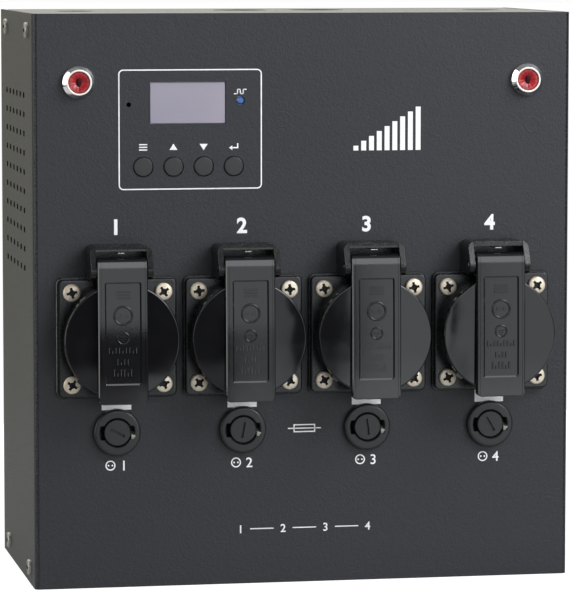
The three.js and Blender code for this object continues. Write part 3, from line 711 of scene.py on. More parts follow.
def powder_coat(name, roughness, grain):
    """Fine-textured dark powder coat. Grain is the height of its texture in millimetres."""
    material = principled(name, (0.028, 0.030, 0.033), roughness)
    toned(material, (0.0110, 0.0125, 0.0165), (0.0145, 0.0160, 0.0205), 7, 2.0, 0.5)
    mottled(material, roughness - 0.14, roughness + 0.14, 1700, 2.0, 0.6)
    grained(material, grain * 0.5, 420, 2.0, 0.5)
    grained(material, grain * 0.8, 800, 2.0, 0.5)
    grained(material, grain, 1900, 3.0, 0.65)
    return material


def satin_moulding():
    material = principled("satin_moulding", (0.009, 0.009, 0.010), 0.40)
    mottled(material, 0.34, 0.46, 900, 3.0)
    grained(material, 0.006, 3500, 1.0)
    return material


def socket_moulding():
    """The sockets' black plastic, a little shinier than the fuse holders'."""
    material = principled("socket_moulding", (0.007, 0.007, 0.008), 0.24)
    mottled(material, 0.20, 0.30, 500, 3.0)
    grained(material, 0.02, 60, 2.0)
    return material


def gloss_moulding():
    material = principled("gloss_moulding", (0.005, 0.005, 0.006), 0.045)
    mottled(material, 0.03, 0.06, 120, 3.0)
    grained(material, 0.12, 38, 1.0)
    return material


def strap_moulding():
    material = principled("strap_moulding", (0.008, 0.008, 0.009), 0.055)
    mottled(material, 0.04, 0.07, 300, 4.0)
    grained(material, 0.06, 26, 1.0)
    grained(material, 0.003, 3000, 1.0)
    return material


def passivated_steel():
    material = principled("passivated_steel", (0.74, 0.65, 0.52), 0.42, 0.45)
    toned(material, (0.66, 0.57, 0.44), (0.82, 0.74, 0.61), 700, 3.0)
    mottled(material, 0.36, 0.52, 1300, 2.0)
    return material


def cover_screw_steel():
    material = principled("cover_screw_steel", (0.42, 0.41, 0.38), 0.36, 0.9)
    mottled(material, 0.30, 0.5, 1300, 2.0)
    return material


def chrome_plate():
    material = principled("chrome_plate", (0.86, 0.86, 0.87), 0.1, 1.0)
    mottled(material, 0.06, 0.16, 600, 3.0)
    return material


def pale_lip():
    """Satin nickel, which looks pale from everywhere: a painted highlight in place of the lip's reflection.
    """
    material = principled("pale_lip", (0.90, 0.88, 0.82), 0.34, 0.3)
    toned(material, (0.86, 0.84, 0.77), (0.94, 0.92, 0.87), 500, 2.0)
    return material


def red_lens():
    material = principled("red_lens", (0.34, 0.010, 0.014), 0.36, Coat_Weight=0.12, Coat_Roughness=0.12)
    toned(material, (0.24, 0.003, 0.009), (0.46, 0.014, 0.018), 350, 2.0)
    return material


def lamp_core():
    material = principled("lamp_core", (0.03, 0.004, 0.006), 0.6, Specular_IOR_Level=0.15)
    mottled(material, 0.5, 0.7, 900, 2.0)
    return material


def blue_lens():
    material = principled("blue_lens", (0.012, 0.08, 0.30), 0.18, Coat_Weight=0.5, Coat_Roughness=0.08)
    toned(material, (0.005, 0.045, 0.20), (0.014, 0.10, 0.35), 500, 1.0)
    return material


def display_glass():
    material = principled("display_glass", (0.30, 0.27, 0.34), 0.16)
    toned(material, (0.27, 0.25, 0.32), (0.33, 0.30, 0.36), 25, 2.0)
    mottled(material, 0.12, 0.2, 200, 2.0)
    return material


def white_print():
    material = principled("white_print", (0.93, 0.93, 0.93), 0.55)
    toned(material, (0.89, 0.90, 0.91), (0.96, 0.96, 0.96), 1200, 3.0)
    return material


# Painted shade for the insides of the screws' crosses
def dark_recess():
    material = principled("dark_recess", (0.008, 0.008, 0.008), 0.7)
    mottled(material, 0.6, 0.8, 800, 2.0)
    return material


def brass():
    material = principled("brass", (0.72, 0.50, 0.22), 0.3, 1.0)
    mottled(material, 0.24, 0.42, 900, 3.0)
    return material


def circuit_board():
    material = principled("circuit_board", (0.02, 0.11, 0.04), 0.4)
    tracks = ranged(material, noise(material, 260, 0.0, stretch=(1, 1, 0.15)), 0, 1, 0.5, 0.53)
    colour = blended(material.node_tree, tracks, (0.015, 0.09, 0.035), (0.03, 0.16, 0.06))
    shade(material, "Base Color", colour)
    bump(material, tracks, 0.05)
    return material


def bare_aluminium():
    material = principled("bare_aluminium", (0.70, 0.71, 0.72), 0.38, 1.0)
    mottled(material, 0.3, 0.5, 700, 3.0, stretch=(1, 1, 0.03))
    return material


def pale_moulding():
    material = principled("pale_moulding", (0.70, 0.68, 0.60), 0.5)
    mottled(material, 0.42, 0.6, 900, 2.0)
    return material


def black_rubber():
    material = principled("black_rubber", (0.012, 0.012, 0.012), 0.75)
    mottled(material, 0.65, 0.85, 1500, 3.0)
    grained(material, 0.02, 2500, 2.0)
    return material


def fuse_glass():
    material = principled("fuse_glass", (0.80, 0.84, 0.85), 0.06, Transmission_Weight=0.7)
    mottled(material, 0.04, 0.1, 500, 2.0)
    return material


COAT = powder_coat("cover_coat", 0.52, 0.13)
BEND_COAT = powder_coat("bend_coat", 0.27, 0.05)
CHASSIS_COAT = powder_coat("chassis_coat", 0.34, 0.05)
SATIN = satin_moulding()
SOCKET = socket_moulding()
GLOSS = gloss_moulding()
STRAP = strap_moulding()
SCREW_STEEL = passivated_steel()
SIDE_STEEL = cover_screw_steel()
CHROME = chrome_plate()
LIP_HIGHLIGHT = pale_lip()
RED = red_lens()
CORE = lamp_core()
BLUE = blue_lens()
DISPLAY = display_glass()
PRINT = white_print()
RECESS_SHADE = dark_recess()
BRASS = brass()
BOARD = circuit_board()
ALUMINIUM = bare_aluminium()
PALE = pale_moulding()
RUBBER = black_rubber()
FUSE_GLASS = fuse_glass()


def paint_node(name, material):
    """Gives a CAD node that stays in view its finish."""
    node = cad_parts[name]
    node.data.materials.clear()
    node.data.materials.append(material)


def paint_frame():
    finishes = {
        "rear_chassis": CHASSIS_COAT, "display_window": DISPLAY, "signal_lamp": BLUE, "control_board": BOARD,
        "power_board": BOARD, "heat_sink": ALUMINIUM, "mains_terminal_block": PALE, "data_inlet": SATIN,
        "data_outlet": SATIN, "cable_grommet_left": RUBBER, "cable_grommet_right": RUBBER,
    }
    for i in NUMBERS:
        finishes[f"lid_hinge_pin_{i}"] = SCREW_STEEL
        finishes[f"fuse_link_{i}"] = FUSE_GLASS
    for name, material in finishes.items():
        paint_node(name, material)


# The cover

def cover_outline():
    """The cover's section in x and y, with smooth bends at the front's edges."""
    depth = (PANEL_HIGH.y - FACE) / MM
    edge = HALF_WIDTH
    bend = COVER_BEND
    turn = edge - bend
    inner = bend - SHEET
    outside = arc(-turn, bend, bend, 180, 270, BEND_STEPS) + arc(turn, bend, bend, 270, 360, BEND_STEPS)
    inside = arc(turn, bend, inner, 360, 270, BEND_STEPS) + arc(-turn, bend, inner, 270, 180, BEND_STEPS)
    return [(-edge, depth), *outside, (edge, depth), (edge - SHEET, depth), *inside, (-edge + SHEET, depth)]


def upright_prism(name, outline, bottom, top):
    """An outline of (x, y) points drawn out along z."""
    piece = prism(name, outline, bottom, top)
    piece.data.transform(Matrix(((1, 0, 0, 0), (0, 0, 1, 0), (0, 1, 0, 0), (0, 0, 0, 1))))
    piece.data.flip_normals()
    return piece


def node_hole(node, radius):
    """A round cutter through the panel behind a node."""
    x, z = middle(*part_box(node))
    return rod("hole", radius, x / MM, z / MM, -OVERRUN, SHEET_REACH, 40)


def panel_cutters():
    cutters = []
    for i in NUMBERS:
        place = socket_place(i)
        x, z = place.x / MM, place.z / MM
        cutters.append(rod("barrel_hole", BARREL_RADIUS + FIT, x, z, -OVERRUN, SHEET_REACH, 48))
        cutters.append(node_hole(f"fuse_holder_{i}", HOLDER_RADIUS + FIT))
        cutters.append(node_hole(f"button_{i}", BUTTON_RADIUS + FIT))
        for side in (-1, 1):
            for level in (-1, 1):
                across = x + side * SCREW_SPACING / 2
                height = z + level * SCREW_SPACING / 2
                cutters.append(rod("screw_hole", SCREW_HOLE, across, height, -OVERRUN, SHEET_REACH, 12))
    for side in ("left", "right"):
        cutters.append(node_hole(f"lamp_bezel_{side}", LAMP_BARREL + FIT))
    cutters.append(node_hole("signal_lamp", SIGNAL_RADIUS + FIT))
    across = PIP_EDGE - HALF_WIDTH
    height = TOP / MM - PIP_DROP
    cutters.append(rod("pip", PIP_RADIUS, across, height, -OVERRUN, SHEET_REACH, 24))
    low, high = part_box("display_window")
    margin = WINDOW_FLANGE - FIT
    cutters.append(box("window", low.x / MM + margin, high.x / MM - margin, -OVERRUN, SHEET_REACH,
                       low.z / MM + margin, high.z / MM - margin))
    return cutters


def vent_cutters():
    """The slots of both sides, each a bar through the whole cover."""
    reach = HALF_WIDTH + OVERRUN
    corner = VENT_HEIGHT / 3
    cutters = []
    for row in range(VENT_ROWS):
        bottom = TOP / MM - VENT_TOP_DROP - VENT_HEIGHT - row * VENT_ROW_PITCH
        for column in range(VENT_COLUMNS):
            front = VENT_FRONT + column * VENT_COLUMN_PITCH - VENT_LENGTH / 2
            outline = rounded_rectangle(front, bottom, front + VENT_LENGTH, bottom + VENT_HEIGHT, corner, 4)
            cutters.append(cross_prism("vent", outline, -reach, reach))
    return cutters


def side_screw_places():
    depth = (PANEL_HIGH.y - FACE) / MM
    return [(y, z) for y in (SIDE_FRONT, depth - SIDE_BACK) for z in (TOP / MM - SIDE_DROP, SIDE_DROP)]


def cover():
    shell = upright_prism("cover", cover_outline(), 0, TOP / MM)
    reach = HALF_WIDTH + OVERRUN
    holes = [cross_rod("side_hole", SIDE_HOLE, y, z, -reach, reach, 24) for y, z in side_screw_places()]
    cutters = gathered("cover_cutters", panel_cutters() + vent_cutters() + holes)
    piece = smoothed(carved(shell, [cutters]), 26)
    least, most = BEND_TURNS
    for face in piece.data.polygons:
        at_bend = abs(face.center.x) > (HALF_WIDTH - COVER_BEND) * MM
        turned_away = least < abs(face.normal.x) < most and face.normal.y < 0
        face.material_index = 1 if at_bend and turned_away else 0
    return piece


# Sockets

def channel_x(i):
    return middle(*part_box(f"socket_body_{i}"))[0] / MM


def socket_place(i):
    """The middle of socket i on the panel's face."""
    low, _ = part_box(f"socket_body_{i}")
    return Vector((channel_x(i) * MM, FACE, low.z + FLANGE / 2 * MM))


def flange():
    half = FLANGE / 2
    lower = prism("flange", rounded_rectangle(-half, -half, half, half, FLANGE_CORNER), -FLANGE_STEP, -SEAT)
    bevelled(lower, FLANGE_EDGES[0], 1)
    inner = half - FLANGE_STEP_IN
    corner = FLANGE_CORNER - FLANGE_STEP_IN
    upper = prism("upper", rounded_rectangle(-inner, -inner, inner, inner, corner), -FLANGE_FACE, -SEAT * 2)
    bevelled(upper, FLANGE_EDGES[1], 2)
    return fused(lower, [upper])


def collar():
    rim = COLLAR_EDGE
    corner = rim * COLLAR_EDGE_SHARE
    return turned("collar", (
        (0, WELL_FLOOR), (WELL_RADIUS, WELL_FLOOR), (WELL_RADIUS, -COLLAR_RIM + rim),
        (WELL_RADIUS + corner, -COLLAR_RIM + corner), (WELL_RADIUS + rim, -COLLAR_RIM),
        (COLLAR_RADIUS - rim, -COLLAR_RIM), (COLLAR_RADIUS - corner, -COLLAR_RIM + corner),
        (COLLAR_RADIUS, -COLLAR_RIM + rim), (COLLAR_RADIUS, -FLANGE_FACE + rim),
        (BARREL_RADIUS, -FLANGE_FACE + rim), (BARREL_RADIUS, BARREL_DEPTH), (0, BARREL_DEPTH),
    ), 96)


def ear(left, right):
    base = FLANGE / 2 - FLANGE_CORNER
    nose = arc(-PIVOT_FORWARD, PIVOT_RISE, EAR_RADIUS, *EAR_TURN, 14)
    outline = [(-SEAT, base), (-SEAT, HOOD_RISE), (-HOOD_FORWARD, HOOD_RISE), *nose,
               (-FLANGE_FACE + SEAT, PIVOT_RISE - EAR_RADIUS), (-FLANGE_FACE + SEAT, base)]
    return cross_prism("ear", outline, left, right)


def hood_lip():
    """The thin lip under the front edge of the hood's bar."""
    height, proud = HOOD_LIP
    under = HOOD_RISE - HOOD_BAR
    front = -HOOD_FORWARD - proud
    root = -HOOD_FORWARD + HOOD_LIP_ROOT
    outline = [(root, under - HOOD_LIP_BITE), (front, under - HOOD_LIP_BITE), (front, under),
               (front + height * HOOD_LIP_SHARE, under + height), (root, under + height)]
    reach = HOOD_OPENING / 2 + FIT
    return cross_prism("lip", outline, -reach, reach)


def hood():
    inside = HOOD_OPENING / 2
    outside = inside + HOOD_WALL
    under = HOOD_RISE - HOOD_BAR
    slope = -HOOD_FORWARD + HOOD_SLOPE
    side = [(-SEAT, under), (-HOOD_FORWARD, under), (slope, HOOD_RISE), (-SEAT, HOOD_RISE)]
    bar = cross_prism("bar", side, -outside, outside)
    base = FLANGE / 2 - FLANGE_CORNER
    back = box("hood_back", -outside, outside, -HOOD_BACK, -SEAT, base, HOOD_RISE)
    whole = fused(ear(inside, outside), [ear(-outside, -inside), bar, back])
    outline = rounded_rectangle(-outside, base - OVERRUN, outside, HOOD_RISE, HOOD_CORNER)
    rounding = prism("rounding", outline, -PIVOT_FORWARD - EAR_RADIUS - OVERRUN, 0)
    combine(whole, [rounding], "INTERSECT")
    bevelled(whole, HOOD_EDGE, 1, 50)
    return fused(whole, [hood_lip()])


def socket_keys():
    """The two ribs that guide the plug, left and right in the well."""
    keys = []
    for side in (-1, 1):
        left, right = sorted((side * (CONTACT_PITCH - KEY_HEIGHT + FIT), side * (WELL_RADIUS + FIT)))
        keys.append(box("key", left, right, WELL_FLOOR - KEY_LENGTH, WELL_FLOOR + FIT,
                        -KEY_WIDTH / 2, KEY_WIDTH / 2))
    return keys


def socket_shell():
    well = rod("well", WELL_RADIUS - WELL_CUT_IN, 0, 0, -COLLAR_RIM - OVERRUN, WELL_FLOOR, 96)
    plate = carved(flange(), [well])
    shell = fused(plate, [collar(), hood(), *socket_keys()])
    front = WELL_FLOOR - OVERRUN
    back = WELL_FLOOR + CONTACT_DEPTH
    half = CONTACT_PITCH / 2
    cutters = [rod("contact", CONTACT_HOLE / 2, x, 0, front, back) for x in (-half, half)]
    for x in (-SCREW_SPACING / 2, SCREW_SPACING / 2):
        for z in (-SCREW_SPACING / 2, SCREW_SPACING / 2):
            cutters.append(rod("screw_hole", SCREW_HOLE, x, z, -FLANGE_FACE - OVERRUN, OVERRUN))
    reach = HOOD_OPENING / 2 + HOOD_WALL + OVERRUN
    cutters.append(cross_rod("pin_hole", PIN_HOLE, -PIVOT_FORWARD, PIVOT_RISE, -reach, reach))
    return smoothed(carved(shell, cutters))


def earth_clips():
    """Two sprung earth strips, above and below, in the well's wall."""
    tip_length, tip_drop = EARTH_TIP
    front = WELL_FLOOR - EARTH_LENGTH
    foot = WELL_FLOOR + EARTH_FOOT
    strips = []
    for side in (-1, 1):
        outer = side * (WELL_RADIUS - EARTH_SET_IN)
        inner = outer - side * EARTH_THICK
        tip = outer - side * EARTH_THICK * EARTH_BOW_SHARE
        outline = [(foot, outer), (foot, inner), (front + tip_length, tip - side * tip_drop),
                   (front, inner), (front, outer), (front + tip_length, tip + side * EARTH_THICK)]
        strip = cross_prism("earth", outline, -EARTH_WIDTH / 2, EARTH_WIDTH / 2)
        strips.append(bevelled(strip, EARTH_EDGE, 2))
    return smoothed(fused(strips[0], [strips[1]]))


def contact_sleeves():
    front = WELL_FLOOR + SLEEVE_SET_BACK
    back = WELL_FLOOR + CONTACT_DEPTH + SEAT
    profile = ((SLEEVE_BORE, front + SLEEVE_CHAMFER), (SLEEVE_BORE + SLEEVE_CHAMFER, front),
               (SLEEVE_RADIUS, front), (SLEEVE_RADIUS, back), (SLEEVE_BORE, back))
    sleeves = []
    for side in (-1, 1):
        sleeve = turned("sleeve", profile, 32, closed=True)
        sleeve.data.transform(Matrix.Translation((side * CONTACT_PITCH / 2 * MM, 0, 0)))
        sleeves.append(sleeve)
    return smoothed(fused(sleeves[0], [sleeves[1]]))


def spring_end():
    """The bent end of the hinge's spring wire, held under the hood's bar."""
    width, rise, reach = SPRING_END
    half = width / 2
    back = -HOOD_BACK + FIT
    front = rod_along("spring_end", SPRING_WIRE, (-half, -reach, rise), (half, -reach, rise))
    legs = [rod_along("leg", SPRING_WIRE, (x, -reach, rise), (x, back, rise)) for x in (-half, half)]
    return smoothed(fused(front, legs))


# Lids

def lid_disc():
    under = LID_FACE - LID_THICK
    end = under - LID_SKIRT_DEPTH
    rim = [(x, -z) for x, z in arc(LID_RADIUS - LID_RIM, LID_FACE - LID_RIM, LID_RIM, 0, 90, 6)]
    disc = turned("lid_disc", (
        (0, -under), (SEAL_RADIUS - SEAL_WALL, -under), (SEAL_RADIUS - SEAL_WALL, -under + SEAL_DEPTH),
        (SEAL_RADIUS, -under + SEAL_DEPTH), (SEAL_RADIUS, -under), (LID_RADIUS - LID_SKIRT, -under),
        (LID_RADIUS - LID_SKIRT, -end), (LID_RADIUS, -end), *rim, (0, -LID_FACE),
    ), 128)
    low = LID_RADIUS - NUB_SET_IN
    high = LID_RADIUS + NUB_PROUD
    outline = rounded_rectangle(-NUB_HALF, low, NUB_HALF, high, NUB_CORNER)
    nub = prism("nub", outline, -LID_FACE + NUB_DROP, -end)
    nub.data.transform(Matrix.Rotation(math.radians(NUB_ANGLE), 4, "Y"))
    return smoothed(fused(disc, [nub]))


def bowed(piece):
    """Bows the strap's front a little: it leans back at the top and forward at the foot."""
    bm = bmesh.new()
    bm.from_mesh(piece.data)
    z = -STRAP_DROP + BOW_STEP
    while z < STRAP_TOP:
        whole = [*bm.verts, *bm.edges, *bm.faces]
        bmesh.ops.bisect_plane(bm, geom=whole, plane_co=(0, 0, z * MM), plane_no=(0, 0, 1))
        z += BOW_STEP if z < STRAP_TOP - CROWN_BAND - CROWN_STEP else CROWN_STEP
    length = STRAP_TOP + STRAP_DROP
    top, foot, crown = (math.radians(lean) for lean in (*BOW_LEANS, CROWN_LEAN))
    for vert in bm.verts:
        below = max(STRAP_TOP - vert.co.z / MM, 0)
        if vert.co.y < -BOW_FROM * MM:
            rounding = crown * CROWN_BAND / 3 * (1 - max(1 - below / CROWN_BAND, 0) ** 3)
            vert.co.y -= (top * below - (top - foot) * below ** 2 / (2 * length) + rounding) * MM
    bm.to_mesh(piece.data)
    bm.free()
    return piece


def strap_side():
    """The strap's outline in y and z, with the knuckle about the pin."""
    back = LID_FACE - LID_THICK / 2
    turn = arc(-PIVOT_FORWARD, PIVOT_RISE, KNUCKLE_RADIUS, -90, KNUCKLE_END, 28)
    return [(-back, -STRAP_DROP), (-back, PIVOT_RISE - KNUCKLE_RADIUS), *turn, (-STRAP_FACE, STRAP_TOP),
            (-STRAP_FACE, -STRAP_DROP)]


def strap_panel():
    """The cutter for the sunk panel of a strap's front, with sloping walls."""
    width, height, depth = STRAP_PANEL
    wide_corner, floor_corner = STRAP_PANEL_CORNERS
    half = width / 2
    top = STRAP_PANEL_RISE
    low = top - height
    slope = STRAP_PANEL_SLOPE
    wide = rounded_rectangle(-half, low, half, top, wide_corner)
    floor = rounded_rectangle(-half + slope, low + slope, half - slope, top - slope, floor_corner)
    rings = ((wide, -STRAP_FACE - OVERRUN), (wide, -STRAP_FACE), (floor, -STRAP_FACE + depth))
    return lofted("panel", rings)


def spring_space():
    """The cutter for the spring's room in a strap's knuckle."""
    half = SPRING_WIDTH / 2 + FIT
    room = SPRING_RADIUS + FIT
    back = -PIVOT_FORWARD + KNUCKLE_RADIUS + OVERRUN
    front = -PIVOT_FORWARD - room
    return box("spring_space", -half, half, front, back, PIVOT_RISE - room, PIVOT_RISE + room)


def strap_grooves():
    """Cutters for the fine groove along each edge of a strap's front."""
    inset, width, depth = GROOVE
    top = STRAP_TOP - STRAP_CHAMFER
    grooves = []
    for side in (-1, 1):
        x = side * (STRAP_WIDTH / 2 - inset)
        grooves.append(box("groove", x - width / 2, x + width / 2, -STRAP_FACE - OVERRUN,
                           -STRAP_FACE + depth, -STRAP_DROP - OVERRUN, top))
    return grooves


def strap():
    half = STRAP_WIDTH / 2
    bar = cross_prism("strap", strap_side(), -half, half)
    top = PIVOT_RISE + KNUCKLE_RADIUS + STRAP_CORNER
    outline = rounded_rectangle(-half, -STRAP_DROP, half, top, STRAP_CORNER)
    front = prism("strap_front", outline, -STRAP_FACE - OVERRUN, 0)
    combine(bar, [front], "INTERSECT")
    bevelled(bar, STRAP_CHAMFER, 1, 55, False)
    reach = half + OVERRUN
    hole = cross_rod("pin_hole", PIN_HOLE, -PIVOT_FORWARD, PIVOT_RISE, -reach, reach)
    return smoothed(bowed(carved(bar, [strap_panel(), hole, spring_space(), *strap_grooves()])))


def relief_ring(radius, wall, z, proud, sunk):
    outer_share, inner_share = RELIEF_CROWN_SHARES
    shoulder = proud + wall / 3
    inner = radius - wall
    profile = ((inner, shoulder), (radius - wall * outer_share, proud),
               (radius - wall * inner_share, proud), (radius, shoulder), (radius, sunk), (inner, sunk))
    ring = turned("ring", profile, 48, closed=True)
    ring.data.transform(Matrix.Translation((0, 0, z * MM)))
    return ring


def strap_relief():
    """Plain raised marks in the strap's panel: rings, dots, bars and rows of ticks."""
    face = -STRAP_FACE + STRAP_PANEL[2]
    proud = face - RELIEF_PROUD
    sunk = face + RELIEF_SUNK
    line = RELIEF_LINE
    marks = [relief_ring(*ring, proud, sunk) for ring in RELIEF_RINGS]
    dot, aside, height = RELIEF_DOTS
    for x in (-aside, aside):
        marks.append(rod("dot", dot, x, height, proud, sunk, 20))
    for half, z in RELIEF_LONG_BARS:
        marks.append(box("bar", -half, half, proud, sunk, z - line, z + line))
    for half, z in RELIEF_SHORT_BARS:
        marks.append(box("bar", -half, half, proud, sunk, z - line / 2, z + line / 2))
    for z, height, ticks in RELIEF_TICKS:
        low = z - height / 2
        for i in range(ticks):
            x = (i - (ticks - 1) / 2) * TICK_PITCH
            length = height * (SHORT_TICK_SHARE if i % 3 == 1 else 1.0)
            marks.append(box("tick", x - line, x + line, proud, sunk, low, low + length))
    relief = gathered("lid_relief", marks)
    return smoothed(bowed(bevelled(relief, RELIEF_EDGE, 1)))


# Screws

def cross_recess(crown):
    long = CROSS_LENGTH / 2
    thin = CROSS_WIDTH / 2
    front = crown - OVERRUN
    floor = crown + CROSS_DEPTH
    arms = box("arm", -long, long, front, floor, -thin, thin)
    arm = box("arm", -thin, thin, front, floor, -long, long)
    wide, narrow = (CROSS_WIDTH * share for share in CROSS_CORE_SHARES)
    core = turned("core", ((0, front), (wide, front), (wide, crown), (narrow, floor), (0, floor)), 24)
    return fused(arms, [arm, core])


def pan_head(radius, face, height):
    """Profile of a pan head from its edge to its crown: a short wall, a round shoulder, a low dome."""
    shoulder = height * HEAD_SHOULDER_SHARE
    wall = HEAD_WALL_SHARE
    crown = face - height
    profile = [(radius, face), (radius, crown + shoulder * wall)]
    for degrees in range(15, 90, 15):
        angle = math.radians(degrees)
        across = radius - shoulder * (1 - math.cos(angle))
        profile.append((across, crown + shoulder * (wall - math.sin(angle))))
    across, down = HEAD_DOME_SHARES
    profile.append((radius * across, crown + shoulder * down))
    profile.append((0, crown))
    return profile


def darken_recess(screw, crown):
    """Gives the second material, a painted shade, to the faces inside the cross."""
    reach = (CROSS_LENGTH / 2 + CROSS_MARGIN) * MM
    for face in screw.data.polygons:
        inside = math.hypot(face.center.x, face.center.z) < reach
        wall = abs(face.normal.y) < 0.5
        deep = face.center.y > (crown + CROSS_DEPTH / 2) * MM
        near = face.center.y < (crown + 2 * CROSS_DEPTH) * MM
        face.material_index = 1 if inside and near and (wall or deep) else 0


def cross_screw(name, head_radius, face, head_height, shank_radius, length):
    crown = face - head_height
    body = turned(name, ((0, face + length), (shank_radius, face + length), (shank_radius, face),
                         *pan_head(head_radius, face, head_height)), 48)
    screw = smoothed(carved(body, [cross_recess(crown)]), 38)
    darken_recess(screw, crown)
    return screw


# Fuse holders

def fuse_mouth():
    """The cutter for the stepped mouth about a fuse cap."""
    face = BEZEL_FACE
    step_in, step, floor = MOUTH_STEP
    front = face - OVERRUN
    return turned("mouth", (
        (0, front), (MOUTH_RADIUS + CHAMFER + OVERRUN, front), (MOUTH_RADIUS, face + CHAMFER),
        (MOUTH_RADIUS - step_in, face + step), (CAP_RADIUS + FIT, face + floor), (0, face + floor),
    ), 64)


def fuse_notch():
    """The cutter for the two notches beside a fuse cap."""
    reach = CAP_RADIUS + FIT + NOTCH_REACH
    half = math.degrees(math.asin(NOTCH_WIDTH / 2 / reach))
    outline = arc(0, 0, reach, -half, half, 6) + arc(0, 0, reach, 180 - half, 180 + half, 6)
    wider = reach + CHAMFER + OVERRUN
    flared = [(x * wider / reach, z * wider / reach) for x, z in outline]
    face = BEZEL_FACE
    rings = ((flared, face - OVERRUN), (outline, face + CHAMFER), (outline, face + NOTCH_DEPTH))
    return lofted("notch", rings)


def fuse_bezel():
    face = BEZEL_FACE
    edge = BEZEL_ROUND
    rounding = [(BEZEL_RADIUS - edge + edge * math.sin(math.radians(a)),
                 face + edge - edge * math.cos(math.radians(a))) for a in range(0, 91, 15)]
    body = turned("bezel", ((0, face), *rounding, (BEZEL_RADIUS, -SEAT), (HOLDER_RADIUS, -SEAT),
                            (HOLDER_RADIUS, HOLDER_DEPTH), (0, HOLDER_DEPTH)), 72)
    end = face + CAP_RECESS + CAP_DEPTH + FIT
    bore = rod("bore", CAP_RADIUS + FIT, 0, 0, face - OVERRUN, end, 64)
    deep = rod("deep", HOLDER_BORE, 0, 0, face, end + HOLDER_BORE_DEPTH, 32)
    return smoothed(carved(body, [bore, deep, fuse_mouth(), fuse_notch()]))


def fuse_stop():
    """The ramp in the right notch that the cap's lug comes up against, made pale as a painted glint."""
    face = BEZEL_FACE
    left, right, bottom, top, high, low = FUSE_GLINT_RAMP
    back = face + NOTCH_DEPTH - FUSE_GLINT_BACK
    outline = [(left, face + low), (right, face + high), (right, back), (left, back)]
    glint_ramp = upright_prism("fuse_stop", outline, bottom, top)
    pivot = Matrix.Translation(((left + right) / 2 * MM, (face + low) * MM, (bottom + top) / 2 * MM))
    glint_ramp.data.transform(pivot @ Matrix.Rotation(math.radians(FUSE_GLINT_TILT), 4, "X") @ pivot.inverted())
    return smoothed(glint_ramp)


def fuse_cap():
    face = BEZEL_FACE + CAP_RECESS
    back = face + CAP_DEPTH
    edge = CAP_RADIUS - CAP_RIM
    profile = ((0, face), (edge, face), (CAP_RADIUS, face + CAP_RIM), (CAP_RADIUS, back), (0, back))
    body = turned("cap", profile, 64)
    length, width, depth = CAP_SLOT
    slot = box("slot", -length / 2, length / 2, face - OVERRUN, face + depth, -width / 2, width / 2)
    hollow = rod("hollow", CAP_HOLLOW, 0, 0, face + depth + CAP_WEB, back + OVERRUN)
    return smoothed(carved(body, [slot, hollow]))


# Lamps and buttons

def lamp_bezel():
    """A bright ring with a pale rolled lip, its pale colour a painted highlight, a cone below it and a short
    foot.
    """
    face = LAMP_FACE
    half = LAMP_LIP / 2
    inner = LAMP_RING - LAMP_LIP
    crest = LAMP_RING - half
    edge = LAMP_LIP_ROUND
    lip = [(crest + half * math.cos(math.radians(a)), face + edge - edge * math.sin(math.radians(a)))
           for a in range(180, -1, -30)]
    cone_in, cone_foot, foot = LAMP_CONE
    body = turned("lamp_bezel", (
        (0, face + LAMP_FLOOR), (inner, face + LAMP_FLOOR), *lip, (LAMP_RING, face + LAMP_NECK),
        (LAMP_BASE - cone_in, face + cone_foot), (LAMP_BASE, face + foot), (LAMP_BASE, -SEAT),
        (LAMP_BARREL, -SEAT), (LAMP_BARREL, LAMP_DEPTH), (0, LAMP_DEPTH),
    ), 72)
    smoothed(body, 24)
    # The rolled lip's faces get the second material, pale nickel that paints its highlight
    for polygon in body.data.polygons:
        centre = polygon.center
        on_highlit_lip = math.hypot(centre.x, centre.z) > inner * MM and centre.y < (face + edge) * MM
        polygon.material_index = 1 if on_highlit_lip else 0
    return body


def lamp_lens():
    """A red lens sunk in its bezel, with fluted slopes that lead down to its middle."""
    face = LAMP_FACE
    rim, high, low = LENS_EDGE
    slope = [(radius, face + depth) for radius, depth in LENS_SLOPE]
    profile = (*slope, (LENS_RADIUS - rim, face + high), (LENS_RADIUS, face + low),
               (LENS_RADIUS, face + LENS_BACK), (0, face + LENS_BACK))
    lens = turned("lamp_lens", profile, 96)
    start, end = FLUTE_REACH
    for vert in lens.data.vertices:
        radius = math.hypot(vert.co.x, vert.co.z) / MM
        if start < radius < end and vert.co.y < (face + FLUTE_BACK) * MM:
            vert.co.y += FLUTE_DEPTH * MM * math.cos(FLUTES * math.atan2(vert.co.x, vert.co.z))
    return smoothed(lens, 40)


def lamp_heart():
    """The dark lamp behind the lens, seen through it as an upright spot."""
    heart = turned("heart", [(radius, LAMP_FACE + depth) for radius, depth in HEART_PROFILE], 32)
    heart.data.transform(Matrix.Diagonal(HEART_STRETCH_SHARES))
    return smoothed(heart)


def button_cap():
    edge = BUTTON_EDGE
    dome = [(BUTTON_RADIUS - edge + edge * math.sin(math.radians(a)),
             -BUTTON_PROUD + edge - edge * math.cos(math.radians(a))) for a in (0, 22, 45, 67, 90)]
    front, back, end = BUTTON_DEPTHS
    profile = ((0, -BUTTON_PROUD), *dome, (BUTTON_RADIUS, front), (BUTTON_FLANGE_RADIUS, front),
               (BUTTON_FLANGE_RADIUS, back), (BUTTON_STEM, back), (BUTTON_STEM, end), (0, end))
    return smoothed(turned("button", profile, 56))


# Print

def flat_print(name, outlines):
    """Closed outlines in x and z, each drawn as thin ink on the panel."""
    return gathered(name, [prism("part", outline, -PRINT_HEIGHT, PRINT_HEIGHT) for outline in outlines])


def print_ring(name, outer, inner):
    """Ink between two outlines with the same number of points."""
    near = -PRINT_HEIGHT
    far = PRINT_HEIGHT
    return lofted(name, ((outer, near), (inner, near), (inner, far), (outer, far)), closed=True)


def circle(x, z, radius, steps=32):
    return arc(x, z, radius, 0, 360 - 360 / steps, steps - 1)


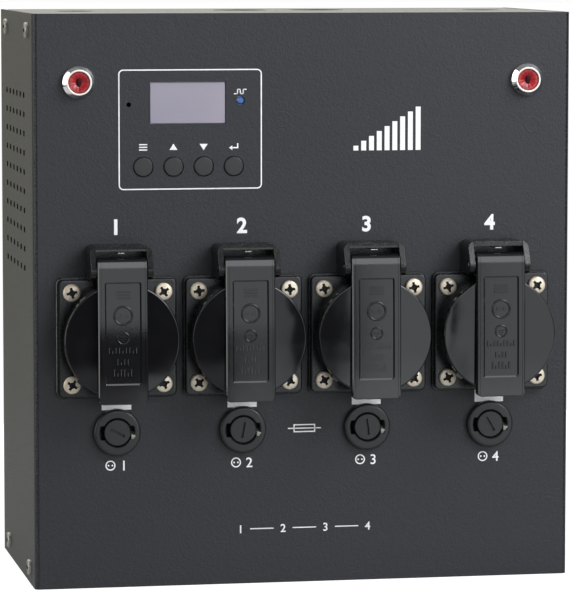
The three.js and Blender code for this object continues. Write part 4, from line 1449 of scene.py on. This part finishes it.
def numeral(name, text, height, weight):
    """A plain numeral from Blender's own font, centred, height in millimetres."""
    curve = bpy.data.curves.new(name, "FONT")
    curve.body = text
    curve.align_x = "CENTER"
    curve.size = height / FONT_HEIGHT_SHARE * MM
    curve.offset = weight * MM
    curve.extrude = PRINT_HEIGHT * MM
    curve.resolution_u = 6
    source = bpy.data.objects.new(name, curve)
    bpy.context.scene.collection.objects.link(source)
    graph = bpy.context.evaluated_depsgraph_get()
    mesh = bpy.data.meshes.new_from_object(source.evaluated_get(graph))
    bpy.data.objects.remove(source)
    mesh.transform(Matrix.Rotation(math.radians(90), 4, "X"))
    mesh.transform(Matrix.Translation((0, 0, -height / 2 * MM)))
    bm = bmesh.new()
    bm.from_mesh(mesh)
    bmesh.ops.remove_doubles(bm, verts=bm.verts, dist=WELD)
    return from_bmesh(name, bm)


def ink(piece, x, drop):
    placed(piece, f"print_{piece.name}", "housing", on_panel(x, drop), PRINT)
    discard(piece)


def print_channels():
    high, low = PATCH_DROPS
    half = PATCH_WIDTH / 2
    rise = (low - high) / 2
    patch = rectangle(-half, half, -rise, rise)
    radius = LABEL_HEIGHT / 2
    pins = [circle(place, 0, SIGN_PIN, 16) for place in SIGN_PIN_PLACES]
    for i in NUMBERS:
        x = channel_x(i)
        ink(numeral(f"number_{i}", str(i), NUMERAL_HEIGHT, NUMERAL_WEIGHT), x, NUMERAL_DROP)
        outer = circle(SIGN_LEFT, 0, radius)
        inner = circle(SIGN_LEFT, 0, radius - SIGN_LINE)
        ink(print_ring(f"socket_sign_{i}", outer, inner), x, LABEL_DROP)
        ink(flat_print(f"socket_pins_{i}", pins), x, LABEL_DROP)
        ink(numeral(f"label_{i}", str(i), LABEL_HEIGHT, LABEL_WEIGHT), x + LABEL_RIGHT, LABEL_DROP)
        ink(flat_print(f"patch_{i}", [patch]), x, (high + low) / 2)


def print_frame():
    across = (FRAME_LEFT + FRAME_RIGHT) / 2
    half = (FRAME_RIGHT - FRAME_LEFT) / 2
    rise = (FRAME_BOTTOM - FRAME_TOP) / 2
    outer = rounded_rectangle(-half, -rise, half, rise, FRAME_CORNER)
    line = FRAME_LINE
    inner = rounded_rectangle(-half + line, -rise + line, half - line, rise - line, FRAME_CORNER - line)
    ink(print_ring("display_frame", outer, inner), across, (FRAME_TOP + FRAME_BOTTOM) / 2)


def button_signs():
    """Signs over the buttons: a list, up, down, and a return arrow."""
    half = SIGN_HALF
    bars = [rectangle(-half, half, z - SIGN_BAR, z + SIGN_BAR) for z in SIGN_BAR_PLACES]
    up = [((-half, -SIGN_BASE), (half, -SIGN_BASE), (0, SIGN_TIP))]
    down = [((-half, SIGN_BASE), (0, -SIGN_TIP), (half, SIGN_BASE))]
    back = [ARROW_HEAD, ARROW_SHAFT]
    return (("sign_list", bars), ("sign_up", up), ("sign_down", down), ("sign_back", back))


def print_buttons():
    for i, (name, outlines) in enumerate(button_signs(), 1):
        x, _ = middle(*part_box(f"button_{i}"))
        ink(flat_print(name, outlines), x / MM, BUTTON_LABEL_DROP)


def print_signal_sign():
    """A small pulse over the signal lamp."""
    x, _ = middle(*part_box("signal_lamp"))
    line = PULSE_LINE
    step = PULSE_STEP
    rise = PULSE_RISE
    path = ((-2 * step, -rise), (-step, -rise), (-step, rise), (0, rise),
            (0, -rise), (step, -rise), (step, rise), (2 * step, rise))
    strokes = []
    for (x0, z0), (x1, z1) in zip(path, path[1:]):
        left, right = min(x0, x1) - line, max(x0, x1) + line
        strokes.append(rectangle(left, right, min(z0, z1) - line, max(z0, z1) + line))
    ink(flat_print("sign_pulse", strokes), x / MM, PULSE_DROP)


def print_fuse_sign():
    """The plain sign for a fuse: a box with a line through it."""
    half, rise = FUSE_SIGN
    line = FUSE_SIGN_LINE
    outer = rectangle(-half, half, -rise, rise)
    inner = rectangle(-half + line, half - line, -rise + line, rise - line)
    ink(print_ring("fuse_box", outer, inner), 0, FUSE_SIGN_DROP)
    reach, thin = FUSE_SIGN_BAR
    ink(flat_print("fuse_line", [rectangle(-reach, reach, -thin, thin)]), 0, FUSE_SIGN_DROP)


def print_output_row():
    """The four channel numbers in a row, joined by short lines."""
    reach, thin = ROW_DASH
    dash = rectangle(-reach, reach, -thin, thin)
    for i in NUMBERS:
        x = (i - (CHANNELS + 1) / 2) * ROW_STEP
        ink(numeral(f"row_{i}", str(i), ROW_HEIGHT, ROW_WEIGHT), x, ROW_DROP)
        if i < CHANNELS:
            ink(flat_print(f"row_dash_{i}", [dash]), x + ROW_STEP / 2, ROW_DROP)


def print_level_bars():
    """A rising row of bars, a plain sign for a level."""
    foot = -LEVEL_RISE / 2
    bars = []
    for i in range(LEVEL_BARS):
        left = (i - LEVEL_BARS / 2) * LEVEL_STEP
        bars.append(rectangle(left, left + LEVEL_WIDTH, foot, foot + LEVEL_RISE * (i + 1) / LEVEL_BARS))
    ink(flat_print("level_bars", bars), *LEVEL_PLACE)


# Putting the pieces on the frame

def dress_sockets():
    shell = socket_shell()
    clips = earth_clips()
    sleeves = contact_sleeves()
    wire = spring_end()
    disc = lid_disc()
    bar = strap()
    relief = strap_relief()
    screw = cross_screw("screw", HEAD_RADIUS, -FLANGE_FACE - SEAT, HEAD_HEIGHT, SHANK_RADIUS, SCREW_LENGTH)
    for i in NUMBERS:
        at = socket_place(i)
        placed(shell, f"socket_shell_{i}", "housing", at, SOCKET, (f"socket_body_{i}",))
        placed(clips, f"earth_clips_{i}", "housing", at, BRASS)
        placed(sleeves, f"contact_sleeves_{i}", "housing", at, BRASS)
        placed(wire, f"spring_end_{i}", "housing", at, SIDE_STEEL)
        placed(disc, f"lid_disc_{i}", f"lid_{i}", at, GLOSS, (f"socket_lid_{i}",))
        placed(bar, f"lid_strap_{i}", f"lid_{i}", at, STRAP, (f"socket_lid_{i}",))
        placed(relief, f"lid_relief_{i}", f"lid_{i}", at, STRAP)
        for corner, (side, level) in enumerate(((-1, 1), (-1, -1), (1, 1), (1, -1)), 1):
            spot = at + Vector((side * SCREW_SPACING / 2 * MM, 0, level * SCREW_SPACING / 2 * MM))
            node = f"socket_{i}_screw_{corner}"
            # The cross gets painted shade as its second material
            placed(screw, f"flange_{node}", "housing", spot, (SCREW_STEEL, RECESS_SHADE), (node,),
                   SCREW_TURNS[i - 1][corner - 1])
    discard(shell, clips, sleeves, wire, disc, bar, relief, screw)


def dress_fuses():
    bezel = fuse_bezel()
    cap = fuse_cap()
    glint_ramp = fuse_stop()
    for i in NUMBERS:
        x, z = middle(*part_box(f"fuse_holder_{i}"))
        at = Vector((x, FACE, z))
        placed(bezel, f"fuse_bezel_{i}", "housing", at, SATIN, (f"fuse_holder_{i}",))
        # The pale ramp paints the glint in the right notch
        placed(glint_ramp, f"fuse_stop_{i}", "housing", at, PALE)
        placed(cap, f"fuse_top_{i}", f"cap_{i}", at, SATIN, (f"fuse_cap_{i}",),
               CAP_TURNS[i - 1])
    discard(bezel, cap, glint_ramp)


def dress_lamps():
    bezel = lamp_bezel()
    lens = lamp_lens()
    heart = lamp_heart()
    for side in ("left", "right"):
        x, z = middle(*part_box(f"lamp_bezel_{side}"))
        at = Vector((x, FACE, z))
        # The lip's pale second material is a painted highlight
        placed(bezel, f"lamp_ring_{side}", "housing", at, (CHROME, LIP_HIGHLIGHT), (f"lamp_bezel_{side}",))
        placed(lens, f"lamp_glass_{side}", "housing", at, RED, (f"lamp_lens_{side}",))
        placed(heart, f"lamp_heart_{side}", "housing", at, CORE)
    discard(bezel, lens, heart)


def dress_buttons():
    cap = button_cap()
    for i in NUMBERS:
        x, z = middle(*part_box(f"button_{i}"))
        at = Vector((x, FACE, z))
        placed(cap, f"button_top_{i}", f"plunger_{i}", at, SATIN, (f"button_{i}",))
    discard(cap)


def dress_cover():
    shell = cover()
    placed(shell, "cover_shell", "housing", Vector((0, FACE, 0)), (COAT, BEND_COAT),
           ("front_cover",))
    discard(shell)


def dress_sides():
    """The screws that hold the cover's sides to the chassis."""
    number = 0
    for side in (-1, 1):
        screw = cross_screw("side_screw", SIDE_HEAD_RADIUS, 0, SIDE_HEAD_HEIGHT, SIDE_SHANK_RADIUS,
                            SIDE_LENGTH)
        screw.data.transform(Matrix.Rotation(math.radians(90 * side), 4, "Z"))
        for y, z in side_screw_places():
            number += 1
            at = Vector((side * HALF_WIDTH * MM, FACE + y * MM, z * MM))
            # The cross gets painted shade as its second material
            placed(screw, f"side_screw_{number}", "housing", at, (SIDE_STEEL, RECESS_SHADE))
        discard(screw)


def dress_clinches():
    """Faint round marks where studs are pressed in from behind."""
    profile = [(CLINCH_RADIUS + aside, depth) for aside, depth in CLINCH_PROFILE]
    mark = smoothed(turned("clinch", profile, 48, closed=True))
    for number, (x, drop) in enumerate(CLINCH_PLACES, 1):
        placed(mark, f"clinch_{number}", "housing", on_panel(x, drop), COAT)
    discard(mark)


# Stage, light and camera

def stage_floor():
    """A pale table top. The camera and glossy surfaces see it white but for the object's shadow."""
    mesh = bpy.data.meshes.new("floor")
    corners = rectangle(-FLOOR_SIDE, FLOOR_SIDE, FACE - FLOOR_FRONT, FLOOR_BACK)
    mesh.from_pydata([(x, y, 0) for x, y in corners], [], [(0, 1, 2, 3)])
    floor = link("floor", mesh)
    material = bpy.data.materials.new("floor")
    material.use_nodes = True
    tree = material.node_tree
    tree.nodes.clear()
    output = new_node(tree, "OutputMaterial")
    pale, soft = (new_node(tree, "BsdfDiffuse", Color=(tone, tone, tone, 1)) for tone in FLOOR_TONES)
    glow = new_node(tree, "Emission", Strength=FLOOR_GLOW)
    lit = new_node(tree, "AddShader")
    tree.links.new(pale.outputs["BSDF"], lit.inputs[0])
    tree.links.new(glow.outputs["Emission"], lit.inputs[1])
    path = new_node(tree, "LightPath")
    rays = (path.outputs["Is Glossy Ray"], FLOOR_SHINE, path.outputs["Is Camera Ray"])
    seen = multiply_add(tree, rays, clamped=True)
    surface = mixed_shader(tree, seen, soft.outputs["BSDF"], lit.outputs["Shader"])
    tree.links.new(surface, output.inputs["Surface"])
    mesh.materials.append(material)


def light_world():
    """A room that is pale above and behind, dark in front, and white wherever the camera looks."""
    world = bpy.data.worlds.new("studio")
    bpy.context.scene.world = world
    world.use_nodes = True
    tree = world.node_tree
    tree.nodes.clear()
    output = new_node(tree, "OutputWorld")
    room = new_node(tree, "Background")
    white = new_node(tree, "Background", Color=(1, 1, 1, 1), Strength=1.0)
    place = new_node(tree, "TexCoord")
    parts = new_node(tree, "SeparateXYZ")
    tree.links.new(place.outputs["Generated"], parts.inputs["Vector"])
    levels = [level(tree, parts.outputs[part], *limits, "SMOOTHSTEP") for part, *limits in ROOM_LEVELS]
    behind, horizon, above, bench, ahead, warmth = levels
    upper = multiply_add(tree, (behind, horizon, above))
    tree.links.new(multiply_add(tree, (bench, ahead, upper)), room.inputs["Strength"])
    tree.links.new(blended(tree, warmth, *ROOM_TINTS), room.inputs["Color"])
    camera = new_node(tree, "LightPath").outputs["Is Camera Ray"]
    surface = mixed_shader(tree, camera, room.outputs["Background"], white.outputs["Background"])
    tree.links.new(surface, output.inputs["Surface"])


def softbox(name, place, target, width, height, watts, colour=(1, 1, 1)):
    """A soft light at a place, turned to a target, all in metres."""
    light = bpy.data.lights.new(name, "AREA")
    light.color = colour
    light.shape = "RECTANGLE"
    light.size = width
    light.size_y = height
    light.energy = watts
    lamp = bpy.data.objects.new(name, light)
    bpy.context.scene.collection.objects.link(lamp)
    lamp.location = place
    lamp.rotation_euler = (Vector(target) - Vector(place)).to_track_quat("-Z", "Y").to_euler()


def light_softboxes():
    for name, left, right, bottom, top, strength in CARDS:
        x = (left + right) / 2
        z = (bottom + top) / 2
        watts = strength * math.pi * (right - left) * (top - bottom)
        softbox(name, (x, CARD_PLANE, z), (x, FACE, z), right - left, top - bottom, watts, CARD_COLOUR)
    for lamp in SOFTBOXES:
        softbox(*lamp)


def aim_camera():
    """The photograph's view, fitted to the panel's corners and the sockets."""
    data = bpy.data.cameras.new("camera")
    data.sensor_fit = "HORIZONTAL"
    data.sensor_width = 36
    data.lens = FOCAL_SHARE * data.sensor_width
    data.clip_start = 0.05
    data.clip_end = 50
    camera = bpy.data.objects.new("camera", data)
    bpy.context.scene.collection.objects.link(camera)
    place = Vector(CAMERA_PLACE)
    camera.location = (place.x * MM, FACE + place.y * MM, place.z * MM)
    camera.rotation_euler = (math.radians(90) - math.radians(CAMERA_PITCH), 0, -math.radians(CAMERA_YAW))
    bpy.context.scene.camera = camera


paint_frame()
dress_cover()
dress_sockets()
dress_fuses()
dress_lamps()
dress_buttons()
dress_sides()
dress_clinches()
print_channels()
print_frame()
print_buttons()
print_signal_sign()
print_fuse_sign()
print_output_row()
print_level_bars()
stage_floor()
light_world()
light_softboxes()
aim_camera()
bpy.context.scene.view_settings.view_transform = "Standard"
